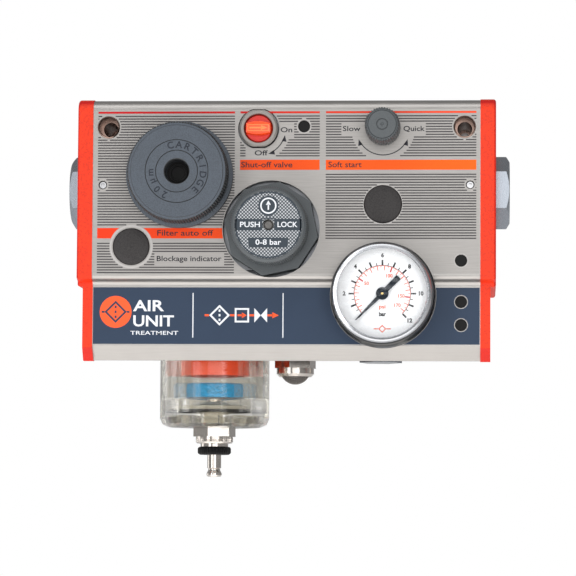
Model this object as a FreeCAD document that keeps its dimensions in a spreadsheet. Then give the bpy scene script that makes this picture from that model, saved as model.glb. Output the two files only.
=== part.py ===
"""Compressed air preparation unit for wall mounting: filter, shut-off valve, regulator and soft start.

Frame: +X to the right seen from the front, +Y into the wall, +Z up. The origin is the middle of the
wall face. A reach, and a height along the front axis, is a distance out from the wall.
"""
import FreeCAD
import Part
import Sketcher
import math
import os
import re

SIZES = {
    # housing: an aluminium channel, open below, cut to length along X
    "body_len": 193.5, "face_reach": 76, "top_z": 65, "low_z": -65,
    "front_wall": 4, "top_wall": 5, "back_wall": 6, "top_round": 5.5,
    "step_deep": 4.6, "step_top_z": -24.8, "step_low_z": -26.3, "step_round": 3.1,
    "lip_top_z": -58, "lip_reach": 65, "lip_back": 62.4,
    "boss_back": 62, "boss_low_z": -56, "boss_top_z": -49,
    # end covers
    "cover_thin": 5, "cover_thick": 7.75, "cover_over": 0.4, "pad_low_z": -28.5, "cover_round": 1.4,
    "cover_screw_rad": 1.5, "cover_screw_len": 14, "cover_head_rad": 2.9, "cover_head_high": 1.6,
    # inner blocks
    "block_end": 94, "block_split": 24, "block_low_z": -58, "upper_low_z": -20,
    "lower_reach": 61.5, "right_upper_low_z": -2, "right_lower_reach": 46,
    # ports on the two ends
    "port_z": 22, "port_reach": 38, "port_thread_rad": 9.32, "port_thread_len": 16,
    "port_hex_flats": 32, "port_end": 111.5, "port_shank_rad": 14, "port_inner": 80, "port_bore_rad": 8,
    "grub_x": 91.65, "grub_rad": 2, "grub_tip": 52.1, "grub_front": 75.4,
    # wall fixing
    "fix_x": 88.9, "fix_z": 51, "fix_rad": 2.75, "fix_head_rad": 4.9, "fix_step_rad": 3.7,
    "sleeve_rad": 5.6,
    "fix_head_deep": 10, "fix_step_reach": 30,
    # filter stage
    "cap_x": -53, "cap_z": 27, "cap_rad": 25, "cap_flange_rad": 26.7, "cap_high": 17,
    "cap_flange_high": 3.6,
    "cap_bevel": 2.2, "cap_neck_rad": 21.4, "cap_eye_rad": 6.2, "cap_eye_deep": 11,
    "chamber_rad": 19, "chamber_back": 18, "thread_back": 61, "element_rad": 16, "element_bore": 11,
    "element_front": 60, "element_rear": 23, "outlet_rad": 8.1,
    # shut-off valve
    "shut_x": -13.7, "shut_z": 50.2, "gland_rad": 9.6, "gland_flats": 18.3, "gland_hole_rad": 10.3,
    "gland_hole_flats": 19.6, "gland_front": 78.4, "gland_thread_rad": 8.6, "shut_knob_rad": 6.9,
    "spool_rad": 6, "spool_back": 8.5, "flow_reach": 13, "vent_reach": 27, "drill_rad": 4, "vent_rad": 3,
    # regulator
    "reg_x": -7.2, "reg_z": 0, "nut_rad": 23.8, "nut_hole_rad": 24.2, "nut_front": 77.5, "nut_back": 68,
    "reg_thread_rad": 20.9, "reg_thread_back": 56, "reg_knob_rad": 19, "reg_knob_front": 97,
    "reg_knob_back": 78, "tower_rad": 15.8, "tower_front": 88, "lead_rad": 3.9, "piston_rad": 17.4,
    "piston_bore_back": 48, "flow_rad": 11, "seat_front": 41, "seat_back": 37, "seat_rad": 6,
    "poppet_rad": 8, "poppet_back": 12, "link_z": 6, "link_reach": 44.5, "link_rad": 3.5,
    # soft start
    "soft_x": 48.4, "soft_z": 50.2, "soft_knob_rad": 8.75, "soft_knob_front": 93, "soft_knob_back": 76.7,
    "switch_z": 12.3, "switch_rad": 9.5, "switch_bore_rad": 8.5, "needle_rad": 3.9,
    # small front features
    "blind_x": -77.1, "blind_z": -8.9, "blind_rad": 9.2, "dot_rad": 3.05,
    "dot_a_x": 8.95, "dot_a_z": 51.35, "dot_b_x": 87.2, "dot_b_z": -15.8, "dot_c_z": -36, "dot_d_z": -47.5,
    # printed labels
    "label_thick": 0.3, "label_half": 96.4, "label_top_z": 59.3, "label_low_z": -22.3,
    "band_thick": 0.2, "band_top_z": -28.9, "band_low_z": -57.2,
    # gauge
    "gauge_x": 48.5, "gauge_z": -32.8, "gauge_hole_rad": 26.3, "case_rad": 25.3, "case_front": 87.6,
    "case_back": 56, "bezel_rad": 24.6, "bezel_front": 90.4, "dial_reach": 83.2, "dial_rad": 23,
    "socket_rad": 4.86, "gear_module": 0.4,
    # bowl and drain
    "bowl_x": -38.3, "bowl_reach": 34.2, "bowl_rad": 27.8, "bowl_low_z": -97.4, "bowl_top_z": -58.4,
    "neck_rad": 23.9, "neck_top_z": -44, "bowl_bore_rad": 24.6, "ledge_z": -83, "sump_rad": 18.4,
    "floor_z": -90, "drain_hole_rad": 7, "deflector_rad": 17.4, "deflector_low_z": -71.5,
    "float_rad": 14.4, "float_low_z": -83, "float_top_z": -75.4, "gasket_thick": 1.3,
    "nut_low_z": -102.2, "drain_nut_flats": 19, "collar_rad": 9.4, "collar_low_z": -107.3,
    "ring_rad": 8.45, "ring_low_z": -111.4, "stem_rad": 3.5, "stem_bore": 1.6, "stem_low_z": -122.5,
    # exhaust silencer and plugged service port under the body
    "vent_x": 2.5, "vent_port_reach": 30, "vent_flats": 18.6, "vent_hex_low_z": -67.1,
    "vent_ring_rad": 9.5, "vent_ring_low_z": -71.4, "vent_dome_rad": 7.2, "vent_dome_low_z": -75.2,
    "aux_x": 46, "aux_reach": 26, "aux_flats": 19, "aux_low_z": -63.9, "quarter_rad": 6.58,
    "quarter_top_z": -46,
    # general play between a moving piece and its seat
    "play": 0.1,
}

WORD = re.compile(r"[a-z_][a-z_0-9]*")
AXIS_X, AXIS_Y, AXIS_Z = FreeCAD.Vector(1, 0, 0), FreeCAD.Vector(0, 1, 0), FreeCAD.Vector(0, 0, 1)

# Ways a sub-part's own axis can point: the turn, and the frame axis and sign it then runs along.
FRONT, UP, RIGHT, LEFT = "front", "up", "right", "left"
WAYS = {
    FRONT: (FreeCAD.Rotation(AXIS_X, 90), "y", "-"),
    UP: (FreeCAD.Rotation(), "z", "+"),
    RIGHT: (FreeCAD.Rotation(AXIS_Y, 90), "x", "+"),
    LEFT: (FreeCAD.Rotation(AXIS_Y, -90), "x", "-"),
}

doc = FreeCAD.newDocument("air_unit")
sheet = doc.addObject("Spreadsheet::Sheet", "Sizes")
nodes = {}


def fill_sheet():
    """The driving dimensions, one aliased row each, as plain millimetres."""
    for row, (alias, size) in enumerate(SIZES.items(), 1):
        sheet.set(f"A{row}", alias)
        sheet.set(f"B{row}", str(size))
        sheet.setAlias(f"B{row}", alias)
    doc.recompute()


def bound(expression):
    """An expression on the sheet's aliases, as FreeCAD reads it."""
    return WORD.sub(lambda word: "Sizes." + word.group(0), str(expression))


def value(expression):
    """The same expression as a number."""
    plain = WORD.sub(lambda word: repr(float(sheet.get(word.group(0)))), str(expression))
    return float(worked_out(plain))


def worked_out(text):
    """Adds, subtracts, multiplies and divides numbers, with brackets."""
    tokens = re.findall(r"\d+\.?\d*(?:e-?\d+)?|[()+\-*/]", text)

    def atom():
        token = tokens.pop(0)
        if token == "(":
            inside = total()
            tokens.pop(0)
            return inside
        if token == "-":
            return -atom()
        return float(token)

    def product():
        result = atom()
        while tokens and tokens[0] in "*/":
            result = result * atom() if tokens.pop(0) == "*" else result / atom()
        return result

    def total():
        result = product()
        while tokens and tokens[0] in "+-":
            result = result + product() if tokens.pop(0) == "+" else result - product()
        return result

    return total()


def bind(thing, **sizes):
    """Ties properties of an object to expressions on the sheet."""
    for name, expression in sizes.items():
        thing.setExpression(name, bound(expression))


def place(thing, x=0, y=0, z=0, turn=UP, spin=0):
    """Sets the sub-part's placement; spin turns it about its own axis first."""
    way = WAYS[turn][0].multiply(FreeCAD.Rotation(AXIS_Z, spin))
    thing.Placement = FreeCAD.Placement(FreeCAD.Vector(value(x), value(y), value(z)), way)
    for axis, expression in (("x", x), ("y", y), ("z", z)):
        if WORD.search(str(expression)):
            thing.setExpression(f".Placement.Base.{axis}", bound(expression))
    return thing


def moved_along(turn, height, x, y, z):
    """The point x, y, z moved by a height along the way the axis points."""
    spot = {"x": x, "y": y, "z": z}
    axis, sign = WAYS[turn][1:]
    spot[axis] = f"({spot[axis]}) {sign} ({height})"
    return spot


def keep(label, thing):
    """Names a finished sub-part: its label is its file name."""
    thing.Label = label
    nodes[label] = thing
    return thing


def cylinder(name, radius, low, high, x=0, y=0, z=0, turn=UP):
    """A cylinder between two heights along its own axis, which passes through x, y, z."""
    rod = doc.addObject("Part::Cylinder", name)
    bind(rod, Radius=radius, Height=f"({high}) - ({low})")
    return place(rod, turn=turn, **moved_along(turn, low, x, y, z))


def box(name, x, y, z):
    """A box from three pairs of limits."""
    block = doc.addObject("Part::Box", name)
    bind(block, Length=f"({x[1]}) - ({x[0]})", Width=f"({y[1]}) - ({y[0]})", Height=f"({z[1]}) - ({z[0]})")
    return place(block, x[0], y[0], z[0])


def prism(name, sides, flats, low, high, x=0, y=0, z=0, turn=UP, spin=0):
    """A regular prism, such as a hexagon across its flats."""
    bar = doc.addObject("Part::Prism", name)
    bar.Polygon = sides
    bind(bar, Circumradius=f"({flats}) / {2 * math.cos(math.pi / sides):.9f}", Height=f"({high}) - ({low})")
    return place(bar, turn=turn, spin=spin, **moved_along(turn, low, x, y, z))


def fuse(name, *parts):
    """The parts joined into one shape."""
    whole = doc.addObject("Part::MultiFuse", name)
    whole.Shapes = list(parts)
    whole.Refine = True
    return whole


def common(name, *parts):
    """What the parts have in common."""
    shared = doc.addObject("Part::MultiCommon", name)
    shared.Shapes = list(parts)
    return shared


def cut(name, base, *tools):
    """base with every tool taken away at once."""
    result = doc.addObject("Part::Cut", name)
    result.Base = base
    result.Tool = tools[0] if len(tools) == 1 else fuse(name + "_tools", *tools)
    return result


def drill(name, base, tools):
    """base with crossing drillings taken away, one after another."""
    for index, tool in enumerate(tools):
        result = doc.addObject("Part::Cut", f"{name}_{index}")
        result.Base = base
        result.Tool = tool
        base = result
    return base


def group(label, things):
    """Several separate solids that make one sub-part."""
    together = doc.addObject("Part::Compound", label)
    together.Links = things
    return keep(label, together)


def new_sketch(body, plane, name, points):
    """A closed outline on an origin plane of the body; every corner is held by the sheet."""
    sketch = body.newObject("Sketcher::SketchObject", name)
    support = [f for f in body.Origin.OriginFeatures if f.Role == plane][0]
    sketch.AttachmentSupport = [(support, "")]
    sketch.MapMode = "FlatFace"
    spots = [FreeCAD.Vector(value(u), value(v), 0) for u, v in points]
    for start, end in zip(spots, spots[1:] + spots[:1]):
        sketch.addGeometry(Part.LineSegment(start, end), False)
    count = len(points)
    for index in range(count):
        sketch.addConstraint(Sketcher.Constraint("Coincident", index, 2, (index + 1) % count, 1))
    for index, (pair, spot) in enumerate(zip(points, spots)):
        for kind, expression, size, axis in (("DistanceX", pair[0], spot.x, -2),
                                             ("DistanceY", pair[1], spot.y, -1)):
            if str(expression) == "0":
                sketch.addConstraint(Sketcher.Constraint("PointOnObject", index, 1, axis))
            else:
                held = sketch.addConstraint(Sketcher.Constraint(kind, -1, 1, index, 1, size))
                if WORD.search(str(expression)):
                    sketch.setExpression(f"Constraints[{held}]", bound(expression))
    return sketch


def turned(name, points, x=0, y=0, z=0, turn=UP):
    """A lathe-turned body from an outline of (radius, height) corners."""
    body = doc.addObject("PartDesign::Body", name)
    sketch = new_sketch(body, "XZ_Plane", name + "_outline", points)
    spin = body.newObject("PartDesign::Revolution", name + "_turn")
    spin.Profile = sketch
    spin.ReferenceAxis = (sketch, ["V_Axis"])
    spin.Angle = 360
    return place(body, x, y, z, turn)


def ring_seal(name, middle, thick, height, x=0, y=0, z=0, turn=UP):
    """An O-ring by its mid radius and cord radius, at a height along its axis."""
    seal = doc.addObject("Part::Torus", name)
    bind(seal, Radius1=middle, Radius2=thick)
    return place(seal, turn=turn, **moved_along(turn, height, x, y, z))


def extruded(name, points, length, backwards=False, midplane=False):
    """A body padded along X from an outline of (y, z) corners."""
    body = doc.addObject("PartDesign::Body", name)
    sketch = new_sketch(body, "YZ_Plane", name + "_outline", points)
    pad = body.newObject("PartDesign::Pad", name + "_pad")
    pad.Profile = sketch
    bind(pad, Length=length)
    pad.Midplane = midplane
    pad.Reversed = backwards
    return body


def along_x(edge, y, z):
    """Whether a straight edge runs along X through y, z."""
    ends = [vertex.Point for vertex in edge.Vertexes]
    return len(ends) == 2 and all(abs(p.y - y) < 0.01 and abs(p.z - z) < 0.01 for p in ends)


def round_edges(body, name, radius, wanted):
    """A fillet on the body's tip, on the edges that the test picks."""
    doc.recompute()
    base = body.Tip
    names = [f"Edge{i}" for i, edge in enumerate(base.Shape.Edges, 1) if wanted(edge)]
    fillet = body.newObject("PartDesign::Fillet", name)
    fillet.Base = (base, names)
    bind(fillet, Radius=radius)
    doc.recompute()
    return fillet


COIL_STEPS, COIL_SIDES = 20, 8      # facets round one turn of a spring, and round its wire


def coil(label, middle, wire, low, high, turns, x, y, z, turn):
    """A compression spring, faceted like a bent wire, that stays between two heights along its axis."""
    radius, thick = value(middle), value(wire)
    bottom, top = value(low) + thick, value(high) - thick
    count = round(turns * COIL_STEPS)

    def ring(index):
        """The wire's section part of the way along the spring."""
        angle = 2 * math.pi * index / COIL_STEPS
        height = bottom + (top - bottom) * index / count
        corners = []
        for side in range(COIL_SIDES):
            around = 2 * math.pi * side / COIL_SIDES
            reach = radius + thick * math.cos(around)
            corners.append(FreeCAD.Vector(reach * math.cos(angle), reach * math.sin(angle),
                                          height + thick * math.sin(around)))
        return corners

    def facet(*corners):
        return Part.Face(Part.makePolygon(list(corners) + [corners[0]]))

    rings = [ring(index) for index in range(count + 1)]
    faces = [facet(*rings[0]), facet(*rings[-1])]
    for near, far in zip(rings, rings[1:]):
        for side in range(COIL_SIDES):
            after = (side + 1) % COIL_SIDES
            faces.append(facet(near[side], near[after], far[after]))
            faces.append(facet(near[side], far[after], far[side]))
    spring = doc.addObject("Part::Feature", label)
    spring.Shape = Part.Solid(Part.Shell(faces))
    if spring.Shape.Volume < 0:
        spring.Shape = spring.Shape.reversed()
    return keep(label, place(spring, x, y, z, turn))


# ---------------------------------------------------------------- housing, covers and fixings

def front_openings():
    """Every hole through the front wall, as (name, radius, x, z)."""
    holes = [("cap_hole", "cap_neck_rad + 0.6", "cap_x", "cap_z"),
             ("nut_hole", "nut_hole_rad", "reg_x", "reg_z"),
             ("soft_hole", "4", "soft_x", "soft_z"),
             ("switch_hole", "switch_rad + play", "soft_x", "switch_z"),
             ("blind_hole", "blind_rad + play", "blind_x", "blind_z"),
             ("dot_a", "dot_rad", "dot_a_x", "dot_a_z"),
             ("dot_b", "dot_rad", "dot_b_x", "dot_b_z"), ("dot_c", "dot_rad", "dot_b_x", "dot_c_z"),
             ("dot_d", "dot_rad", "dot_b_x", "dot_d_z"),
             ("gauge_hole", "gauge_hole_rad", "gauge_x", "gauge_z")]
    for side, sign in (("left", "-"), ("right", "")):
        holes.append((f"{side}_fix_hole", "sleeve_rad", f"{sign}fix_x", "fix_z"))
        holes.append((f"{side}_grub_hole", "grub_rad + 0.15", f"{sign}grub_x", "port_z"))
    return holes


def gland_window(name, low, high):
    """The shut-off gland's opening: round, with a flat above and below."""
    round_part = cylinder(name + "_round", "gland_hole_rad", low, high, "shut_x", 0, "shut_z", FRONT)
    flats = box(name + "_flats", ("shut_x - 12", "shut_x + 12"), (f"-({high})", f"-({low})"),
                ("shut_z - gland_hole_flats / 2", "shut_z + gland_hole_flats / 2"))
    return common(name, round_part, flats)


def housing_outline():
    """Outer face from the top of the wall face round to the lip, then back inside."""
    inner_face = "face_reach - front_wall"
    name_face = "face_reach - step_deep"
    inner_name = "face_reach - step_deep - front_wall"
    return [("0", "top_z"), ("-face_reach", "top_z"), ("-face_reach", "step_top_z"),
            (f"-({name_face})", "step_low_z"), (f"-({name_face})", "lip_top_z"), ("-lip_reach", "low_z"),
            ("-lip_back", "low_z"), ("-lip_back", "low_z + 2.4"), (f"-({inner_name})", "lip_top_z + 0.9"),
            (f"-({inner_name})", "boss_low_z"), ("-boss_back", "boss_low_z"), ("-boss_back", "boss_top_z"),
            (f"-({inner_name})", "boss_top_z"), (f"-({inner_name})", "step_low_z - 2.2"),
            (f"-({inner_face})", "step_top_z + 2.8"), (f"-({inner_face})", "top_z - top_wall"),
            ("-back_wall", "top_z - top_wall"), ("-back_wall", "lip_top_z"), ("0", "lip_top_z")]


COVER_SCREWS = (("-60", "top_z - top_wall / 2"), ("-12", "top_z - top_wall / 2"),
                ("-64.6", "(boss_low_z + boss_top_z) / 2"), ("-back_wall / 2", "-46"))
BLOCK_SCREWS = (("-84", "-40"), ("16", "36"), ("32", "-44"), ("84", "-36"))


def build_housing():
    """The extruded channel with its openings for the controls, the fixings and the bowl."""
    shell = extruded("housing_channel", housing_outline(), "body_len", midplane=True)
    face, top, name_face = value("-face_reach"), value("top_z"), value("step_deep - face_reach")
    round_edges(shell, "top_rounding", "top_round", lambda edge: along_x(edge, face, top))
    shoulder = ((face, value("step_top_z")), (name_face, value("step_low_z")))
    round_edges(shell, "step_rounding", "step_round",
                lambda edge: any(along_x(edge, y, z) for y, z in shoulder))
    holes = [cylinder(name, radius, "face_reach - 16", "face_reach + 2", x, 0, z, FRONT)
             for name, radius, x, z in front_openings()]
    holes.append(gland_window("gland_opening", "face_reach - front_wall - 0.01", "face_reach + 2"))
    for side, sign in (("left", "-"), ("right", "")):
        holes.append(cylinder(f"{side}_fix_back", "sleeve_rad", "-1", "back_wall + 1", f"{sign}fix_x", 0,
                              "fix_z", FRONT))
        turn = LEFT if sign else RIGHT
        for index, (y, z) in enumerate(COVER_SCREWS):
            holes.append(cylinder(f"{side}_screw_hole_{index}", "cover_screw_rad",
                                  "body_len / 2 - cover_screw_len", "body_len / 2 + 1", 0, y, z, turn))
    for index, (x, z) in enumerate(BLOCK_SCREWS):
        holes.append(cylinder(f"block_screw_hole_{index}", "2.2", "-1", "back_wall + 1", x, 0, z, FRONT))
        sink = doc.addObject("Part::Cone", f"block_screw_sink_{index}")
        bind(sink, Radius1="4.2", Radius2="2.2", Height="2")
        holes.append(place(sink, x, 0, z, FRONT))
    keep("housing", cut("housing_cut", shell, *holes))


def cover_outline(low):
    """The cover's edge, a little outside the housing's; the pad stops at low, the plate at the lip."""
    front, top = "-(face_reach + cover_over)", "top_z + cover_over"
    name_face = "-(face_reach - step_deep + cover_over)"
    upper = [("0", top), (front, top), (front, "step_top_z - 0.3"), (name_face, "step_low_z - 0.3")]
    if low == "pad_low_z":
        return upper + [(name_face, low), ("0", low)]
    return upper + [(name_face, "lip_top_z - 1"), ("-(lip_reach + 2)", "low_z - cover_over"),
                    ("-lip_back", "low_z - cover_over"), ("-(lip_back - 4)", "lip_top_z - cover_over"),
                    ("0", "lip_top_z - cover_over")]


def build_cover(side, sign, turn):
    """One end cover with its port opening and screw seats."""
    plate = extruded(f"{side}_cover_plate", cover_outline("low_z"), "cover_thin", backwards=sign < 0)
    pad_sketch = new_sketch(plate, "YZ_Plane", f"{side}_cover_pad_outline", cover_outline("pad_low_z"))
    pad = plate.newObject("PartDesign::Pad", f"{side}_cover_pad")
    pad.Profile = pad_sketch
    bind(pad, Length="cover_thick")
    pad.Reversed = sign < 0
    top_y, top_z = value("-(face_reach + cover_over)"), value("top_z + cover_over")
    round_edges(plate, f"{side}_cover_corner", "top_round + cover_over", lambda e: along_x(e, top_y, top_z))
    reach = sign * value("cover_thick")
    low = value("pad_low_z")

    def rim(edge):
        """The outer rim of the pad, and the pad's lower corner."""
        flat = all(abs(v.Point.x - reach) < 0.01 for v in edge.Vertexes)
        at_wall = all(abs(v.Point.y) < 0.01 for v in edge.Vertexes)
        return flat and not at_wall
    round_edges(plate, f"{side}_cover_rim", "cover_round", rim)
    place(plate, x=f"{'-' if sign < 0 else ''}body_len / 2")
    half = "body_len / 2"
    tools = [cylinder(f"{side}_cover_port", "port_shank_rad + 1", f"{half} - 1", f"{half} + 9", 0,
                      "-port_reach", "port_z", turn)]
    for index, (y, z) in enumerate(COVER_SCREWS):
        face = "cover_thick" if value(z) > low else "cover_thin"
        tools.append(cylinder(f"{side}_cover_hole_{index}", "cover_screw_rad + 0.1", f"{half} - 1",
                              f"{half} + 9", 0, y, z, turn))
        tools.append(cylinder(f"{side}_cover_sink_{index}", "cover_head_rad + 0.1",
                              f"{half} + {face} - cover_head_high", f"{half} + 9", 0, y, z, turn))
    keep(f"{side}_end_cover", cut(f"{side}_cover_cut", plate, *tools))


def build_cover_screws():
    """Four pan-head screws a side, each a turned body with a hexagon socket."""
    screws = []
    for side, sign, turn in (("left", "-", LEFT), ("right", "", RIGHT)):
        for index, (y, z) in enumerate(COVER_SCREWS):
            face = "cover_thick" if value(z) > value("pad_low_z") else "cover_thin"
            seat = f"body_len / 2 + {face} - cover_head_high"
            name = f"{side}_cover_screw_{index}"
            shank = turned(name, [("0", f"body_len / 2 - cover_screw_len + 1"),
                                  ("cover_screw_rad", "body_len / 2 - cover_screw_len + 1"),
                                  ("cover_screw_rad", seat), ("cover_head_rad", seat),
                                  ("cover_head_rad", f"{seat} + 1"),
                                  ("cover_head_rad - 0.5", f"{seat} + cover_head_high"),
                                  ("0", f"{seat} + cover_head_high")], 0, y, z, turn)
            socket = prism(name + "_socket", 6, "2", f"{seat} + 0.4", f"{seat} + 3", 0, y, z, turn)
            screws.append(cut(name + "_cut", shank, socket))
    group("end_cover_screws", screws)


def build_block_screws():
    """The screws that hold the inner blocks to the housing."""
    screws = []
    for index, (x, z) in enumerate(BLOCK_SCREWS):
        name = f"block_screw_{index}"
        shank = turned(name, [("0", "0.2"), ("4", "0.2"), ("2", "2.2"), ("2", "16"), ("0", "16")], x, 0,
                       z, FRONT)
        socket = prism(name + "_socket", 6, "2.5", "-1", "1.8", x, 0, z, FRONT)
        screws.append(cut(name + "_cut", shank, socket))
    group("block_screws", screws)


def build_sleeves():
    """Tubes that carry the wall screws' clamping load through the hollow channel."""
    outline = [("fix_rad", "0"), ("sleeve_rad - 0.05", "0"), ("sleeve_rad - 0.05", "face_reach + 0.5"),
               ("sleeve_rad - 0.5", "face_reach + 0.9"), ("fix_head_rad", "face_reach + 0.5"),
               ("fix_head_rad", "face_reach - fix_head_deep"),
               ("fix_step_rad", "face_reach - fix_head_deep"),
               ("fix_step_rad", "fix_step_reach"), ("fix_rad", "fix_step_reach")]
    tubes = [turned(f"{side}_sleeve", outline, f"{sign}fix_x", 0, "fix_z", FRONT)
             for side, sign in (("left", "-"), ("right", ""))]
    group("mounting_sleeves", tubes)


def build_labels():
    """The printed aluminium label on the control face and the dark band below it."""
    sheet_part = box("label_sheet", ("-label_half", "label_half"),
                     ("-(face_reach + label_thick)", "-face_reach"),
                     ("label_low_z", "label_top_z"))
    wider = {"cap_hole": "cap_neck_rad + 0.6", "soft_hole": "4"}
    holes = [cylinder("label_" + name, wider.get(name, radius + " + 0.15"), "face_reach - 1",
                      "face_reach + 2", x, 0, z, FRONT)
             for name, radius, x, z in front_openings() if name not in ("dot_c", "dot_d")]
    holes.append(gland_window("label_gland", "face_reach - 1", "face_reach + 2"))
    keep("control_label", cut("control_label_cut", sheet_part, *holes))
    band_face = "face_reach - step_deep"
    band = box("band_sheet", ("-label_half", "label_half"),
               (f"-({band_face} + band_thick)", f"-({band_face})"),
               ("band_low_z", "band_top_z"))
    holes = [cylinder("band_" + name, radius + " + 0.15", f"{band_face} - 1", f"{band_face} + 2", x, 0, z,
                      FRONT)
             for name, radius, x, z in front_openings() if name in ("dot_c", "dot_d", "gauge_hole")]
    keep("name_label", cut("name_label_cut", band, *holes))


def build_front_plugs():
    """Plugs over the two unused instrument ports, and the four small blanking plugs."""
    for label, radius, bore, x, z, back in (
            ("indicator_port_plug", "blind_rad", "8.1", "blind_x", "blind_z", "62"),
            ("switch_port_plug", "switch_rad", "switch_bore_rad - play", "soft_x", "switch_z", "60")):
        keep(label, turned(label, [("0", back), (bore, back), (bore, "71.8"), (radius, "71.8"),
                                   (radius, "face_reach + 0.2"), (f"{radius} - 0.6", "face_reach + 0.9"),
                                   (f"{radius} - 3", "face_reach + 1.5"), ("0", "face_reach + 2")], x, 0,
                           z, FRONT))
    plugs = []
    for index, (x, z, face) in enumerate((("dot_a_x", "dot_a_z", "face_reach"),
                                          ("dot_b_x", "dot_b_z", "face_reach"),
                                          ("dot_b_x", "dot_c_z", "face_reach - step_deep"),
                                          ("dot_b_x", "dot_d_z", "face_reach - step_deep"))):
        plugs.append(turned(f"blanking_plug_{index}",
                            [("0", f"{face} - 6"), ("dot_rad - 0.4", f"{face} - 6"),
                                                       ("dot_rad - 0.02", f"{face} - 5"),
                                                       ("dot_rad - 0.02", f"{face} - 0.5"),
                                                       ("0", f"{face} - 0.5")], x, 0, z, FRONT))
    group("blanking_plugs", plugs)


# ---------------------------------------------------------------- blocks and ports

def across(name, radius, x_from, x_to, reach, z):
    """A drilling along X."""
    return cylinder(name, radius, x_from, x_to, 0, f"-({reach})", z, RIGHT)


def down(name, radius, z_from, z_to, x, reach):
    """A drilling along Z."""
    return cylinder(name, radius, z_from, z_to, x, f"-({reach})", 0, UP)


def inward(name, radius, back, front, x, z):
    """A drilling along Y."""
    return cylinder(name, radius, back, front, x, 0, z, FRONT)


def build_left_block():
    """The filter, shut-off and regulator chambers with the drillings that join them."""
    upper = box("left_upper", ("-block_end", "block_split"), ("-(face_reach - front_wall)", "-back_wall"),
                ("upper_low_z", "top_z - top_wall"))
    lower = box("left_lower", ("-block_end", "block_split"), ("-lower_reach", "-back_wall"),
                ("block_low_z", "upper_low_z"))
    front = "face_reach"
    tools = [
        across("inlet_seat", "port_shank_rad + 0.05", "-block_end - 1", "-port_inner", "port_reach",
               "port_z"),
        across("inlet_bore", "port_bore_rad", "-port_inner - 1", "-66", "port_reach", "port_z"),
        inward("cap_seat", "cap_neck_rad + play", "thread_back", front, "cap_x", "cap_z"),
        inward("chamber", "chamber_rad", "chamber_back", front, "cap_x", "cap_z"),
        inward("outlet_neck", "outlet_rad", "8.4", "chamber_back + 1", "cap_x", "cap_z"),
        across("clean_a", "drill_rad", "cap_x", "-30", "flow_reach", "cap_z"),
        down("clean_b", "drill_rad", "cap_z", "shut_z", "-30", "flow_reach"),
        across("clean_c", "drill_rad", "-30", "-2", "flow_reach", "shut_z"),
        down("clean_d", "drill_rad", "6", "shut_z", "-2", "flow_reach"),
        inward("spool_bore", "spool_rad + 0.05", "spool_back - 0.5", front, "shut_x", "shut_z"),
        inward("gland_seat", "gland_thread_rad + 0.05", "64", front, "shut_x", "shut_z"),
        across("vent_top", "vent_rad", "shut_x", "19", "vent_reach", "shut_z"),
        down("vent_long", "vent_rad", "-48", "shut_z", "19", "vent_reach"),
        across("vent_low", "vent_rad", "vent_x", "19", "vent_reach", "-48"),
        down("vent_port", "quarter_rad + 0.05", "block_low_z - 1", "quarter_top_z", "vent_x",
             "vent_port_reach"),
        inward("nut_recess", "nut_hole_rad", "nut_back", front, "reg_x", "reg_z"),
        inward("bonnet_seat", "reg_thread_rad + play", "reg_thread_back", front, "reg_x", "reg_z"),
        inward("piston_bore", "piston_rad + play", "piston_bore_back", front, "reg_x", "reg_z"),
        inward("low_side", "flow_rad", "seat_front", "piston_bore_back + 1", "reg_x", "reg_z"),
        inward("seat", "seat_rad", "seat_back - 1", "seat_front + 1", "reg_x", "reg_z"),
        inward("high_side", "flow_rad", "poppet_back", "seat_back", "reg_x", "reg_z"),
        inward("poppet_guide", "2.6", "7.5", "poppet_back + 1", "reg_x", "reg_z"),
        across("link", "link_rad", "reg_x", "block_split + 1", "link_reach", "link_z"),
        down("bowl_seat", "neck_rad + play", "block_low_z - 1", "-41.5", "bowl_x", "bowl_reach"),
        down("deflector_seat", "deflector_rad + 0.05", "-42", "-34", "bowl_x", "bowl_reach"),
        down("water_drop", "5", "-35", "12", "-50", "port_reach"),
        inward("indicator_seat", "8.2", "60", front, "blind_x", "blind_z"),
        inward("indicator_rim", "blind_rad + play", "71.7", front, "blind_x", "blind_z"),
        inward("gauge_room", "gauge_hole_rad", "case_back - 1", front, "gauge_x", "gauge_z"),
        inward("dot_seat", "dot_rad", "66", front, "dot_a_x", "dot_a_z"),
        inward("left_sleeve_seat", "sleeve_rad", "back_wall - 1", front, "-fix_x", "fix_z"),
        inward("left_grub_seat", "grub_rad + 0.05", "50", front, "-grub_x", "port_z"),
        inward("left_tap_0", "2.02", "0", "17", BLOCK_SCREWS[0][0], BLOCK_SCREWS[0][1]),
        inward("left_tap_1", "2.02", "0", "17", BLOCK_SCREWS[1][0], BLOCK_SCREWS[1][1]),
    ]
    keep("filter_regulator_block", drill("left_block", fuse("left_block_raw", upper, lower), tools))


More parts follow.
